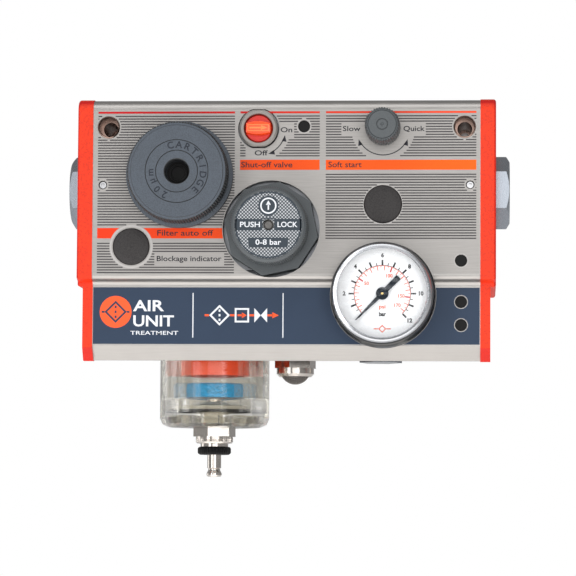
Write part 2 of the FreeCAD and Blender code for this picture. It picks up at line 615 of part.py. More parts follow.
def build_right_block():
    """The soft-start chamber, the outlet and the gauge and service ports."""
    upper = box("right_upper", ("block_split", "block_end"), ("-(face_reach - front_wall)", "-back_wall"),
                ("right_upper_low_z", "top_z - top_wall"))
    lower = box("right_lower", ("block_split", "block_end"), ("-right_lower_reach", "-back_wall"),
                ("block_low_z", "right_upper_low_z"))
    front = "face_reach"
    tools = [
        across("outlet_seat", "port_shank_rad + 0.05", "port_inner", "block_end + 1", "port_reach",
               "port_z"),
        across("outlet_bore", "port_bore_rad", "soft_x", "port_inner + 1", "port_reach", "port_z"),
        across("link_right", "link_rad", "block_split - 1", "soft_x", "link_reach", "link_z"),
        inward("switch_seat", "switch_rad + play", "71.7", front, "soft_x", "switch_z"),
        inward("soft_chamber", "switch_bore_rad", "20", front, "soft_x", "switch_z"),
        inward("soft_stem_bore", "3.15", "64", front, "soft_x", "soft_z"),
        inward("needle_bore", "needle_rad + play", "36", "64.5", "soft_x", "soft_z"),
        down("needle_drop", "2", "switch_z", "soft_z", "soft_x", "42"),
        inward("gauge_port", "socket_rad + 0.04", "33", "right_lower_reach + 1", "gauge_x", "gauge_z"),
        down("gauge_drop", "2", "gauge_z", "link_z", "gauge_x", "43"),
        down("aux_port", "quarter_rad + 0.05", "block_low_z - 1", "quarter_top_z", "aux_x", "aux_reach"),
        down("aux_drop", "vent_rad", "quarter_top_z - 1", "switch_z", "aux_x", "aux_reach"),
        inward("right_sleeve_seat", "sleeve_rad", "back_wall - 1", front, "fix_x", "fix_z"),
        inward("right_grub_seat", "grub_rad + 0.05", "50", front, "grub_x", "port_z"),
        inward("right_tap_0", "2.02", "0", "17", BLOCK_SCREWS[2][0], BLOCK_SCREWS[2][1]),
        inward("right_tap_1", "2.02", "0", "17", BLOCK_SCREWS[3][0], BLOCK_SCREWS[3][1]),
    ]
    keep("soft_start_block", drill("right_block", fuse("right_block_raw", upper, lower), tools))


def build_port(side, turn):
    """A threaded insert: hexagon outside the cover, shank through it into the block."""
    hex_back = "body_len / 2 + cover_thick"
    hexagon = prism(f"{side}_port_hex", 6, "port_hex_flats", hex_back, "port_end", 0, "-port_reach",
                    "port_z", turn)
    chamfer = turned(f"{side}_port_chamfer", [("0", hex_back), ("port_hex_flats", hex_back),
                                              ("port_hex_flats", "port_end - 10"),
                                              ("port_hex_flats / 2 - 0.4", "port_end"), ("0", "port_end")],
                     0, "-port_reach", "port_z", turn)
    head = common(f"{side}_port_head", hexagon, chamfer)
    shank = turned(f"{side}_port_shank", [("0", "port_inner + 0.1"),
                                          ("port_shank_rad - 0.6", "port_inner + 0.1"),
                                          ("port_shank_rad", "port_inner + 0.7"),
                                          ("port_shank_rad", hex_back),
                                          ("0", hex_back)], 0, "-port_reach", "port_z", turn)
    thread = cylinder(f"{side}_port_thread", "port_thread_rad", "port_end - port_thread_len",
                      "port_end + 1", 0,
                      "-port_reach", "port_z", turn)
    bore = cylinder(f"{side}_port_bore", "port_bore_rad", "port_inner - 1", "port_end + 1", 0,
                    "-port_reach", "port_z", turn)
    return cut(f"{side}_port_cut", fuse(f"{side}_port_raw", head, shank), thread, bore)


def build_port_details():
    """The parts round the two main ports."""
    group("port_inserts", [build_port("left", LEFT), build_port("right", RIGHT)])
    screws = []
    for side, sign in (("left", "-"), ("right", "")):
        body = turned(f"{side}_grub", [("0", "grub_tip"), ("grub_rad - 0.8", "grub_tip"),
                                       ("grub_rad", "grub_tip + 0.9"), ("grub_rad", "grub_front - 0.4"),
                                       ("grub_rad - 0.4", "grub_front"), ("0", "grub_front")],
                      f"{sign}grub_x", 0, "port_z", FRONT)
        socket = prism(f"{side}_grub_socket", 6, "2", "grub_front - 2.2", "grub_front + 1",
                       f"{sign}grub_x", 0,
                       "port_z", FRONT)
        screws.append(cut(f"{side}_grub_cut", body, socket))
    group("port_locking_screws", screws)


# ---------------------------------------------------------------- filter stage

def build_filter():
    """The cartridge, its end caps and the screwed cap in front of it."""
    spot = {"x": "cap_x", "z": "cap_z", "turn": FRONT}
    base = "face_reach + label_thick + 0.1"
    front = f"{base} + cap_high"
    keep("cartridge_cap", turned("cartridge_cap_body", [
        ("0", f"{front} - cap_eye_deep"), ("cap_eye_rad", f"{front} - cap_eye_deep"),
        ("cap_eye_rad", front),
        ("cap_rad - cap_bevel", front), ("cap_rad", f"{front} - 1.6"),
        ("cap_rad", f"{base} + cap_flange_high"),
        ("cap_flange_rad", f"{base} + cap_flange_high - 0.6"), ("cap_flange_rad", base),
        ("cap_neck_rad", base),
        ("cap_neck_rad", "66.4"), ("cap_neck_rad - 2", "66.4"), ("cap_neck_rad - 2", "63.9"),
        ("cap_neck_rad", "63.9"), ("cap_neck_rad", "62"), ("cap_neck_rad - 3.4", "62"),
        ("cap_neck_rad - 3.4", f"{front} - cap_eye_deep - 2.5"), ("0", f"{front} - cap_eye_deep - 2.5")],
                                 **spot))
    keep("cap_seal", ring_seal("cap_ring", "cap_neck_rad - 1", "0.97", "65.15", y=0, **spot))
    keep("filter_element", turned("element", [
        ("element_bore", "element_rear"), ("element_rad", "element_rear"), ("element_rad", "element_front"),
        ("element_bore", "element_front")], **spot))
    front_cap = turned("front_cap", [
        ("0", "element_front"), ("element_rad + 0.8", "element_front"),
        ("element_rad + 0.8", "element_front + 3"),
        ("6", "element_front + 5"), ("4", "element_front + 17"), ("0", "element_front + 17")], **spot)
    rear_cap = turned("rear_cap", [
        ("5.5", "11"), ("outlet_rad - play", "11"), ("outlet_rad - play", "element_rear - 2.5"),
        ("element_rad + 0.8", "element_rear - 2.5"), ("element_rad + 0.8", "element_rear"),
        ("5.5", "element_rear")], **spot)
    group("element_end_caps", [front_cap, rear_cap])


# ---------------------------------------------------------------- shut-off valve

def build_shut_off():
    """The shut-off valve: gland, knob and spool."""
    spot = {"x": "shut_x", "z": "shut_z", "turn": FRONT}
    flange = turned("gland_turned", [
        ("shut_knob_rad + play", "64.2"), ("gland_thread_rad", "64.2"),
        ("gland_thread_rad", "face_reach - 3.9"),
        ("gland_rad", "face_reach - 3.9"), ("gland_rad", "gland_front - 0.5"),
        ("gland_rad - 0.9", "gland_front"),
        ("shut_knob_rad + 0.5", "gland_front"), ("shut_knob_rad + play", "gland_front - 0.5")], **spot)
    flats = box("gland_flat_box", ("shut_x - 11", "shut_x + 11"), ("-82", "-60"),
                ("shut_z - gland_flats / 2", "shut_z + gland_flats / 2"))
    keep("shut_off_gland", common("gland_common", flange, flats))
    disc = turned("shut_disc", [("0", "61"), ("spool_rad - 0.4", "61"), ("spool_rad - 0.4", "64.4"),
                                ("shut_knob_rad", "64.4"), ("shut_knob_rad", "face_reach + 0.5"),
                                ("shut_knob_rad - 0.5", "face_reach + 1"), ("0", "face_reach + 1")], **spot)
    bar = box("shut_bar", ("shut_x - shut_knob_rad", "shut_x + shut_knob_rad"),
              ("-(face_reach + 4.6)", "-face_reach"),
              ("shut_z - 3.4", "shut_z + 3.4"))
    limit = cylinder("shut_bar_limit", "shut_knob_rad - 0.1", "face_reach - 1", "face_reach + 6",
                     "shut_x", 0,
                     "shut_z", FRONT)
    keep("shut_off_knob", fuse("shut_knob_whole", disc, common("shut_bar_round", bar, limit)))
    spool = turned("spool_turned", [
        ("0", "spool_back"), ("spool_rad", "spool_back"), ("spool_rad", "32"), ("spool_rad - 2", "34"),
        ("spool_rad - 2", "52"), ("spool_rad", "54"), ("spool_rad", "60.9"), ("0", "60.9")], **spot)
    way = across("spool_way", "drill_rad - 0.3", "shut_x - 9", "shut_x + 9", "flow_reach", "shut_z")
    keep("shut_off_spool", cut("spool_cut", spool, way))


# ---------------------------------------------------------------- regulator

def build_regulator():
    """The regulator: nut, knob, screw, spring, piston and poppet."""
    spot = {"x": "reg_x", "z": "reg_z", "turn": FRONT}
    skirt = turned("bonnet_turned", [
        ("17.6", "reg_thread_back + 0.1"), ("reg_thread_rad", "reg_thread_back + 0.1"),
        ("reg_thread_rad", "nut_back + 1"),
        ("tower_rad + 5", "nut_front"), ("tower_rad", "nut_front"), ("tower_rad", "tower_front"),
        ("4.3", "tower_front"), ("4.3", "84.5"), ("14", "84.5"), ("14", "74"), ("17.6", "70")], **spot)
    flange_hole = cylinder("bonnet_flange_hole", "18", "nut_back - 1", "nut_front + 1", y=0, **spot)
    octagon = prism("bonnet_octagon", 8, "nut_rad * 1.84776", "nut_back + 0.05", "nut_front", "reg_x", 0,
                    "reg_z",
                    FRONT, -10.5)
    keep("regulator_nut", fuse("bonnet_whole", cut("bonnet_flange", octagon, flange_hole), skirt))
    front = "reg_knob_front"
    keep("regulator_knob", turned("reg_knob_body", [
        ("4.2", "88.6"), ("7", "88.6"), ("7", "93"), ("tower_rad + 0.6", "93"),
        ("tower_rad + 0.6", "reg_knob_back"),
        ("reg_knob_rad - 0.6", "reg_knob_back"), ("reg_knob_rad", "reg_knob_back + 0.6"),
        ("reg_knob_rad", f"{front} - 1.4"), ("reg_knob_rad - 1.4", front), ("16.8", front),
        ("16.8", f"{front} - 0.5"),
        ("2.7", f"{front} - 0.5"), ("2.7", f"{front} - 2.2"), ("4.2", f"{front} - 2.2")], **spot))
    keep("knob_disc", turned("knob_disc_body", [
        ("2.9", f"{front} - 0.48"), ("16.6", f"{front} - 0.48"), ("16.6", f"{front} - 0.1"),
        ("2.9", f"{front} - 0.1")], **spot))
    keep("adjusting_screw", turned("lead_body", [
        ("0", "62"), ("lead_rad - 0.5", "62"), ("lead_rad", "62.6"), ("lead_rad", "82.6"), ("6.5", "82.6"),
        ("6.5", "84.4"), ("4.1", "84.4"), ("4.1", "94.3"), ("1.4", "94.3"), ("1.4", "92"), ("0", "92")],
                                   **spot))
    keep("knob_screw", turned("knob_screw_body", [
        ("0", "92.2"), ("1.35", "92.2"), ("1.35", "94.4"), ("2.5", "94.4"), ("2.5", "95.4"),
        ("1.7", "95.9"),
        ("0", "95.9")], **spot))
    keep("spring_nut", turned("spring_nut_body", [
        ("lead_rad + play", "76"), ("8", "76"), ("8", "77.4"), ("13", "77.4"), ("13", "80.4"),
        ("7", "80.4"),
        ("7", "82"), ("lead_rad + play", "82")], **spot))
    coil("main_spring", "10.4", "1.2", "54.1", "77.3", 5.5, y=0, **spot)
    keep("regulator_piston", turned("piston_body", [
        ("0", "49.6"), ("piston_rad", "49.6"), ("piston_rad", "54"), ("9", "54"), ("8", "56.5"),
        ("0", "56.5")], **spot))
    keep("regulator_poppet", turned("poppet_body", [
        ("0", "9"), ("2.5", "9"), ("2.5", "33"), ("poppet_rad", "33"), ("poppet_rad", "seat_back - 0.05"),
        ("seat_rad - 1", "seat_back - 0.05"), ("1.5", "39"), ("1.5", "49.5"), ("0", "49.5")], **spot))
    coil("poppet_spring", "5.2", "0.5", "12.05", "32.9", 6.5, y=0, **spot)


# ---------------------------------------------------------------- soft start

def build_soft_start():
    """The soft start: knob, needle, piston and spring."""
    spot = {"x": "soft_x", "z": "soft_z", "turn": FRONT}
    back, front = "soft_knob_back", "soft_knob_front"
    keep("soft_start_knob", turned("soft_knob_body", [
        ("0", "52"), ("1.95", "52"), ("1.95", "62"), ("3.05", "62"), ("3.05", back),
        ("soft_knob_rad - 0.5", back),
        ("soft_knob_rad", f"{back} + 0.5"), ("soft_knob_rad", f"{front} - 1.3"),
        ("soft_knob_rad - 1.3", front),
        ("2.9", front), ("2.9", f"{front} - 0.6"), ("2.4", f"{front} - 0.6"), ("2.4", f"{front} + 0.1"),
        ("0", f"{front} + 0.1")], **spot))
    keep("soft_start_needle", turned("needle_body", [
        ("0", "38.5"), ("1.6", "44"), ("needle_rad", "45"), ("needle_rad", "60"), ("2.05", "60"),
        ("2.05", "50"),
        ("0", "50")], **spot))
    spot["z"] = "switch_z"
    keep("soft_start_piston", turned("soft_piston_body", [
        ("0", "25"), ("2.6", "25"), ("2.6", "33"), ("switch_bore_rad - play", "33"),
        ("switch_bore_rad - play", "37"),
        ("0", "37")], **spot))
    coil("soft_start_spring", "5.4", "0.6", "20.05", "32.95", 5, y=0, **spot)


# ---------------------------------------------------------------- gauge

PINION_TEETH, SECTOR_TEETH = 12, 72
SECTOR_SPREAD = 70        # degrees of toothed arc on the sector
SECTOR_START = -22.5      # degrees from the line of centres to the sector's middle at zero pressure


def tooth_wheel(teeth, module, first, last, inner, low, high):
    """Trapezoid teeth on a rim: teeth first to last of the full circle, closed on an inner radius."""
    pitch = module * teeth / 2
    step = 2 * math.pi / teeth
    outline = []
    for tooth in range(first, last + 1):
        middle = tooth * step
        for radius, share in ((pitch - 1.1 * module, -0.29), (pitch + 0.75 * module, -0.11),
                              (pitch + 0.75 * module, 0.11), (pitch - 1.1 * module, 0.29)):
            angle = middle + share * step
            outline.append(FreeCAD.Vector(radius * math.cos(angle), radius * math.sin(angle), low))
    if last - first + 1 < teeth:
        for end in (last, first):
            outline.append(FreeCAD.Vector(inner * math.cos(end * step), inner * math.sin(end * step), low))
    face = Part.Face(Part.makePolygon(outline + outline[:1]))
    return face.extrude(FreeCAD.Vector(0, 0, high - low))


def build_gauge():
    """The pressure gauge with its case, dial, tube, sector and pointer."""
    spot = {"x": "gauge_x", "z": "gauge_z", "turn": FRONT}
    keep("gauge_case", turned("case_body", [
        ("socket_rad + 1.2", "case_back"), ("case_rad - 2", "case_back"), ("case_rad", "case_back + 2"),
        ("case_rad", "case_front"), ("case_rad - 1", "case_front"), ("case_rad - 1.4", "case_back + 3"),
        ("socket_rad + 1.2", "case_back + 1.5")], **spot))
    keep("gauge_bezel", turned("bezel_body", [
        ("22", "bezel_front - 0.9"), ("22.4", "bezel_front - 0.2"), ("23.2", "bezel_front"),
        ("24", "bezel_front - 0.3"),
        ("bezel_rad", "bezel_front - 1.2"), ("bezel_rad", "case_front + 0.02"),
        ("23.2", "case_front + 0.02"),
        ("23.2", "bezel_front - 1.1")], **spot))
    keep("gauge_lens", turned("lens_body", [
        ("0", "case_front + 0.2"), ("23.15", "case_front + 0.2"), ("23.15", "bezel_front - 1.15"),
        ("0", "bezel_front - 1.15")], **spot))
    keep("gauge_dial", turned("dial_body", [
        ("1.2", "dial_reach - 0.5"), ("dial_rad", "dial_reach - 0.5"), ("dial_rad", "dial_reach"),
        ("1.2", "dial_reach")], **spot))
    build_pointer()
    build_movement()
    stem = turned("socket_turned", [
        ("0", "34"), ("socket_rad", "34"), ("socket_rad", "right_lower_reach"),
        ("5.9", "right_lower_reach"),
        ("5.9", "case_back + 3.6"), ("0", "case_back + 3.6")], **spot)
    collar = prism("socket_hex", 6, "14", "47", "case_back - 0.05", "gauge_x", 0, "gauge_z", FRONT)
    bore = cylinder("socket_bore", "1.5", "33", "case_back + 2", y=0, **spot)
    arm = box("socket_arm", ("gauge_x", "gauge_x + 20.2"), ("-(case_back + 7.5)", "-(case_back + 3.2)"),
              ("gauge_z - 3", "gauge_z"))
    keep("gauge_socket", cut("socket_cut", fuse("socket_whole", stem, collar, arm), bore))


def build_pointer():
    """Tapered pointer with its tail, set at zero: towards the lower left of the dial."""
    low, high = value("dial_reach") + 0.9, value("dial_reach") + 1.5
    tip, tail, hub = 18.6, 11.5, 3.1
    outline = [(tip, 0.25), (-tail + 8.5, 1.25), (-tail, 1.45), (-tail, -1.45), (-tail + 8.5, -1.25),
               (tip, -0.25)]
    points = [FreeCAD.Vector(u, v, low) for u, v in outline]
    blade = Part.Face(Part.makePolygon(points + points[:1])).extrude(FreeCAD.Vector(0, 0, high - low))
    boss = Part.makeCylinder(hub, high + 0.4 - low, FreeCAD.Vector(0, 0, low))
    bore = Part.makeCylinder(0.62, 3, FreeCAD.Vector(0, 0, low - 1))
    pointer = doc.addObject("Part::Feature", "gauge_pointer")
    pointer.Shape = blade.fuse(boss).cut(bore).removeSplitter()
    keep("gauge_pointer", place(pointer, "gauge_x", 0, "gauge_z", FRONT, 225))


def build_movement():
    """Arbor with pinion, the sector that drives it, the plate that holds both, and the Bourdon tube."""
    low, high = 66.0, 68.4
    dial = value("dial_reach")
    module = value("gear_module")
    centres = module * (PINION_TEETH + SECTOR_TEETH) / 2
    pinion = tooth_wheel(PINION_TEETH, module, 0, PINION_TEETH - 1, 0, low, high)
    shaft = Part.makeCylinder(0.6, dial + 1.6 - (low - 2.5), FreeCAD.Vector(0, 0, low - 2.5))
    arbor = doc.addObject("Part::Feature", "pointer_arbor")
    arbor.Shape = pinion.fuse(shaft).removeSplitter()
    keep("pointer_arbor", place(arbor, "gauge_x", 0, "gauge_z", FRONT))

    half = int(SECTOR_SPREAD / 360 * SECTOR_TEETH / 2)
    rim = tooth_wheel(SECTOR_TEETH, module, -half, half, centres - 7.4, low, high)
    rim.rotate(FreeCAD.Vector(), AXIS_Z, SECTOR_START)
    arm = Part.makeBox(centres - 6.9, 3, high - low, FreeCAD.Vector(0, -1.5, low))
    arm.rotate(FreeCAD.Vector(), AXIS_Z, SECTOR_START)
    boss = Part.makeCylinder(2, high - low, FreeCAD.Vector(0, 0, low))
    pivot = Part.makeCylinder(0.7, high - low + 4, FreeCAD.Vector(0, 0, low - 2))
    sector = doc.addObject("Part::Feature", "gauge_sector")
    sector.Shape = rim.fuse([arm, boss, pivot]).removeSplitter()
    keep("gauge_sector", place(sector, f"gauge_x - {centres}", 0, "gauge_z", FRONT))

    plates = []
    for bottom in (low - 2.1, high + 0.6):
        slab = Part.makeBox(centres + 8, 8.8, 1.2, FreeCAD.Vector(-centres - 4, -4.4, bottom))
        for x, radius in ((0, 0.66), (-centres, 0.76)):
            slab = slab.cut(Part.makeCylinder(radius, 4, FreeCAD.Vector(x, 0, bottom - 1)))
        plates.append(slab)
    posts = [Part.makeCylinder(0.8, high - low + 1.5, FreeCAD.Vector(x, y, low - 0.9))
             for x, y in ((3, 3.4), (3, -3.4), (-centres - 2.5, 3.4), (-centres - 2.5, -3.4))]
    foot = value("case_back + 3.6")
    legs = [Part.makeCylinder(1.2, low - 2.1 - foot, FreeCAD.Vector(-3.5, y, foot)) for y in (-2.6, 2.6)]
    frame = doc.addObject("Part::Feature", "gauge_movement_plate")
    frame.Shape = plates[0].fuse(plates[1:] + posts + legs).removeSplitter()
    keep("gauge_movement_plate", place(frame, "gauge_x", 0, "gauge_z", FRONT))

    rise = value("case_back") + 5.6
    loop = Part.makeTorus(18.2, 1.9, FreeCAD.Vector(0, 0, rise), FreeCAD.Vector(0, 0, 1), 0, 360, 250)
    hollow = Part.makeTorus(18.2, 1.3, FreeCAD.Vector(0, 0, rise), FreeCAD.Vector(0, 0, 1), 0, 360, 245)
    tube = doc.addObject("Part::Feature", "bourdon_tube")
    tube.Shape = loop.cut(hollow)
    keep("bourdon_tube", place(tube, "gauge_x", 0, "gauge_z", FRONT))


# ---------------------------------------------------------------- bowl and drain

def build_bowl():
    """The clear bowl with the deflector, float and drain."""
    spot = {"x": "bowl_x", "y": "-bowl_reach"}
    shell = turned("bowl_turned", [
        ("drain_hole_rad", "bowl_low_z"), ("bowl_rad - 4.5", "bowl_low_z"),
        ("bowl_rad - 1.4", "bowl_low_z + 1.3"),
        ("bowl_rad", "bowl_low_z + 4.5"), ("bowl_rad", "bowl_top_z"), ("neck_rad", "bowl_top_z"),
        ("neck_rad", "-52"), ("neck_rad - 1.6", "-52"), ("neck_rad - 1.6", "-49.6"), ("neck_rad", "-49.6"),
        ("neck_rad", "neck_top_z"), ("neck_rad - 2.9", "neck_top_z"), ("neck_rad - 2.9", "bowl_top_z - 1"),
        ("bowl_bore_rad", "bowl_top_z - 4"), ("bowl_bore_rad", "ledge_z"), ("sump_rad", "ledge_z - 0.8"),
        ("sump_rad", "floor_z"), ("drain_hole_rad", "floor_z")], **spot)
    pockets = []
    for index in range(10):
        pocket = doc.addObject("Part::Box", f"bowl_pocket_{index}")
        bind(pocket, Length="9", Width="7", Height="5.6")
        angle = 36 * index + 18
        corner = FreeCAD.Rotation(AXIS_Z, angle).multVec(FreeCAD.Vector(14.2, -3.5, 0))
        pockets.append(place(pocket, f"bowl_x + ({corner.x:.6f})", f"-bowl_reach + ({corner.y:.6f})",
                             "bowl_low_z - 0.1", spin=angle))
    keep("bowl", cut("bowl_cut", shell, *pockets))
    keep("bowl_seal", ring_seal("bowl_ring", "neck_rad - 0.8", "0.78", "-50.8", z=0, **spot))
    keep("deflector", turned("deflector_body", [
        ("deflector_rad - 2", "deflector_low_z"), ("deflector_rad", "deflector_low_z"),
        ("deflector_rad", "-35"),
        ("deflector_rad - 2", "-35")], **spot))
    keep("float", turned("float_body", [
        ("5.6", "float_low_z + 0.6"), ("float_rad - 0.6", "float_low_z"),
        ("float_rad", "float_low_z + 0.6"),
        ("float_rad", "float_top_z - 0.6"), ("float_rad - 0.6", "float_top_z"), ("5.6", "float_top_z")],
                         **spot))
    keep("drain_gasket", turned("gasket_body", [
        ("drain_hole_rad + 0.2", "floor_z"), ("sump_rad - 0.4", "floor_z"),
        ("sump_rad - 0.4", "floor_z + gasket_thick"),
        ("drain_hole_rad + 0.2", "floor_z + gasket_thick")], **spot))
    keep("drain_body", turned("drain_turned", [
        ("stem_rad + play", "-106.4"), ("5.4", "-106.4"), ("5.4", "nut_low_z"),
        ("drain_hole_rad - 0.05", "nut_low_z"),
        ("drain_hole_rad - 0.05", "floor_z + gasket_thick"), ("16.4", "floor_z + gasket_thick"),
        ("16.4", "-87"), ("8", "-86"), ("4.7", "-84.6"), ("2.6", "-84.6"), ("2.6", "-93"),
        ("stem_rad + play", "-93")], **spot))
    nut = prism("drain_nut_hex", 6, "drain_nut_flats", "nut_low_z", "bowl_low_z", "bowl_x", "-bowl_reach",
                0, UP, 17)
    collar = turned("drain_nut_collar", [
        ("5.5", "collar_low_z"), ("drain_hole_rad", "collar_low_z"), ("drain_hole_rad", "-105.9"),
        ("collar_rad - 0.5", "-105.6"), ("collar_rad", "-104.8"), ("collar_rad - 0.9", "-104.2"),
        ("collar_rad", "-103.6"), ("collar_rad", "nut_low_z"), ("drain_hole_rad", "nut_low_z"),
        ("drain_hole_rad", "nut_low_z - 0.02"), ("5.5", "nut_low_z - 0.02")], **spot)
    nut_bore = cylinder("drain_nut_bore", "drain_hole_rad", "nut_low_z", "bowl_low_z + 1", **spot)
    keep("drain_nut", cut("drain_nut_cut", fuse("drain_nut_raw", nut, collar), nut_bore))
    keep("drain_ring", turned("ring_body", [
        ("stem_rad + play", "ring_low_z"), ("ring_rad - 1.2", "ring_low_z"),
        ("ring_rad", "ring_low_z + 0.8"),
        ("ring_rad", "collar_low_z - 0.6"), ("ring_rad - 0.4", "collar_low_z - 0.1"),
        ("stem_rad + play", "collar_low_z - 0.1")], **spot))
    keep("drain_stem", turned("stem_body", [
        ("stem_bore", "stem_low_z"), ("stem_rad - 0.2", "stem_low_z"),
        ("stem_rad + 0.35", "stem_low_z + 0.8"),
        ("stem_rad + 0.35", "stem_low_z + 1.6"), ("stem_rad - 0.5", "stem_low_z + 3.4"),
        ("stem_rad - 0.5", "stem_low_z + 4"), ("stem_rad", "stem_low_z + 4.4"), ("stem_rad", "-101.2"),
        ("2.5", "-100.6"), ("2.5", "-84.5"), ("4.4", "-84.5"), ("4.4", "-83"), ("3.6", "-82.4"),
        ("0", "-82.4"),
        ("0", "-86"), ("1.2", "-86"), ("1.2", "-99"), ("stem_bore", "-100.4")], **spot))
    coil("drain_spring", "3.05", "0.35", "-100.5", "-93.1", 5, "bowl_x", "-bowl_reach", 0, UP)


# ---------------------------------------------------------------- under the body

def build_underside():
    """The silencer and the plug under the housing."""
    spot = {"x": "vent_x", "y": "-vent_port_reach"}
    hexagon = prism("vent_hex", 6, "vent_flats", "vent_hex_low_z", "block_low_z", "vent_x",
                    "-vent_port_reach", 0, UP, 17)
    thread = turned("vent_thread", [("0", "vent_hex_low_z + 1"), ("quarter_rad", "vent_hex_low_z + 1"),
                                    ("quarter_rad", "quarter_top_z - 0.6"),
                                    ("0", "quarter_top_z - 0.6")], **spot)
    bore = cylinder("vent_bore", "4.6", "vent_hex_low_z - 1", "quarter_top_z", **spot)
    keep("silencer_body", cut("silencer_body_cut", fuse("silencer_body_raw", hexagon, thread), bore))
    ring = turned("vent_ring", [
        ("vent_dome_rad + 0.05", "vent_ring_low_z + 1"), ("vent_dome_rad + 0.4", "vent_ring_low_z"),
        ("vent_ring_rad - 1.3", "vent_ring_low_z"), ("vent_ring_rad", "vent_ring_low_z + 1.4"),
        ("vent_ring_rad", "vent_hex_low_z - 0.02"), ("4.7", "vent_hex_low_z - 0.02"),
        ("4.7", "vent_ring_low_z + 3"), ("vent_dome_rad + 0.05", "vent_ring_low_z + 3")], **spot)
    slots = []
    for index in range(6):
        slot = doc.addObject("Part::Box", f"vent_slot_{index}")
        bind(slot, Length="3", Width="1.2", Height="2.6")
        angle = 60 * index - 92
        corner = FreeCAD.Rotation(AXIS_Z, angle).multVec(FreeCAD.Vector(8.9, -0.6, 0))
        slots.append(place(slot, f"vent_x + ({corner.x:.6f})", f"-vent_port_reach + ({corner.y:.6f})",
                           "vent_hex_low_z - 2.7", spin=angle))
    keep("silencer_ring", cut("silencer_ring_cut", ring, *slots))
    rise = value("vent_ring_low_z - vent_dome_low_z") + 0.9
    wide = value("vent_dome_rad")
    bulge = (wide * wide + rise * rise) / (2 * rise)
    ball = doc.addObject("Part::Sphere", "vent_ball")
    bind(ball, Radius=f"{bulge:.6f}")
    place(ball, "vent_x", "-vent_port_reach", f"vent_dome_low_z + {bulge:.6f}")
    hollow = doc.addObject("Part::Sphere", "vent_hollow")
    bind(hollow, Radius=f"{bulge:.6f} - 0.8")
    place(hollow, "vent_x", "-vent_port_reach", f"vent_dome_low_z + {bulge:.6f}")
    slab = cylinder("vent_slab", "vent_dome_rad", "vent_dome_low_z - 1", "vent_ring_low_z + 0.9", **spot)
    keep("silencer_mesh", cut("silencer_mesh_cut", common("silencer_cap", ball, slab), hollow))

    spot = {"x": "aux_x", "y": "-aux_reach"}
    head = prism("aux_hex", 6, "aux_flats", "aux_low_z", "block_low_z", "aux_x", "-aux_reach", 0, UP, 11)
    thread = turned("aux_thread", [("0", "aux_low_z + 1"), ("quarter_rad", "aux_low_z + 1"),
                                   ("quarter_rad", "quarter_top_z - 0.6"), ("0", "quarter_top_z - 0.6")],
                    **spot)
    keep("service_port_plug", fuse("aux_whole", head, thread))


def check_and_write():
    """Stops on any failed object or bad shape, then writes one STEP file per sub-part."""
    doc.recompute()
    for thing in doc.Objects:
        if {"Invalid", "Error"} & set(thing.State):
            raise RuntimeError(f"{thing.Name} failed: {thing.State}")
    os.makedirs("parts", exist_ok=True)
    for old in os.listdir("parts"):
        if old.endswith(".step") and old[:-5] not in nodes:
            os.remove(os.path.join("parts", old))
    for label, thing in nodes.items():
        shape = thing.Shape
        if shape.isNull() or not shape.isValid() or shape.Volume <= 0 or not shape.Solids:
            raise RuntimeError(f"{label} has no valid solid")
        shape.exportStep(os.path.join("parts", label + ".step"))
        print(f"{label:26s} {len(shape.Solids)} solids {shape.Volume:12.1f} mm3")
    print(len(nodes), "sub-parts")


def main():
    """Builds every sub-part and writes each one to its file."""
    fill_sheet()
    build_housing()
    build_cover("left", -1, LEFT)
    build_cover("right", 1, RIGHT)
    build_cover_screws()
    build_block_screws()
    build_sleeves()
    build_labels()
    build_front_plugs()
    build_left_block()
    build_right_block()
    build_port_details()
    build_filter()
    build_shut_off()
    build_regulator()
    build_soft_start()
    build_gauge()
    build_bowl()
    build_underside()
    check_and_write()


main()
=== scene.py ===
"""Looks of a wall-mounted compressed air unit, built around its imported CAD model.

Row frame: X to the right seen from the front, Y into the wall, Z up, origin on the wall face.
Numbers are millimetres, except on the stage, which is in metres, and inside Look.
"Reach" is the distance in front of the wall, which is -Y.
"""

import math

import bmesh
import bpy
from mathutils import Matrix, Vector


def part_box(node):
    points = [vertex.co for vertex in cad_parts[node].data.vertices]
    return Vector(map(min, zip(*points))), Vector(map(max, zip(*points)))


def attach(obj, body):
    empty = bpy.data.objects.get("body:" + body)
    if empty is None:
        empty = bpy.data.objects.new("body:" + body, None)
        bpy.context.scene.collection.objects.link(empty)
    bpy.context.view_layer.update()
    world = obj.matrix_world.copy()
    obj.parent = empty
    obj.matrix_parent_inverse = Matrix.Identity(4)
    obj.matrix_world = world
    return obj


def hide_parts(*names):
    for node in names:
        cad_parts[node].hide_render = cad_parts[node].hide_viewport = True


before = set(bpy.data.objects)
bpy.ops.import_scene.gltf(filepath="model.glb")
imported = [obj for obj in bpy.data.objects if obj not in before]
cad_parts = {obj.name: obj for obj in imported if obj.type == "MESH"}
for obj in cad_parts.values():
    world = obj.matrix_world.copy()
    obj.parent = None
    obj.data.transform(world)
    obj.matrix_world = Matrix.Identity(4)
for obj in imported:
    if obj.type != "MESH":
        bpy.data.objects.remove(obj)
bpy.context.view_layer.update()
MM = 0.001


# ------------------------------------------------------------------ materials

# Specular level of matt films, mouldings and inks.
DULL = 0.2


def srgb(red, green, blue):
    """A screen colour, 0 to 255, as the linear colour that a shader takes."""
    linear = [((c / 255 + 0.055) / 1.055) ** 2.4 if c > 10 else c / 3295 for c in (red, green, blue)]
    return (*linear, 1)


def darker(colour, share):
    """The same colour with that share of its light."""
    return tuple(channel * share for channel in colour[:3]) + (1,)


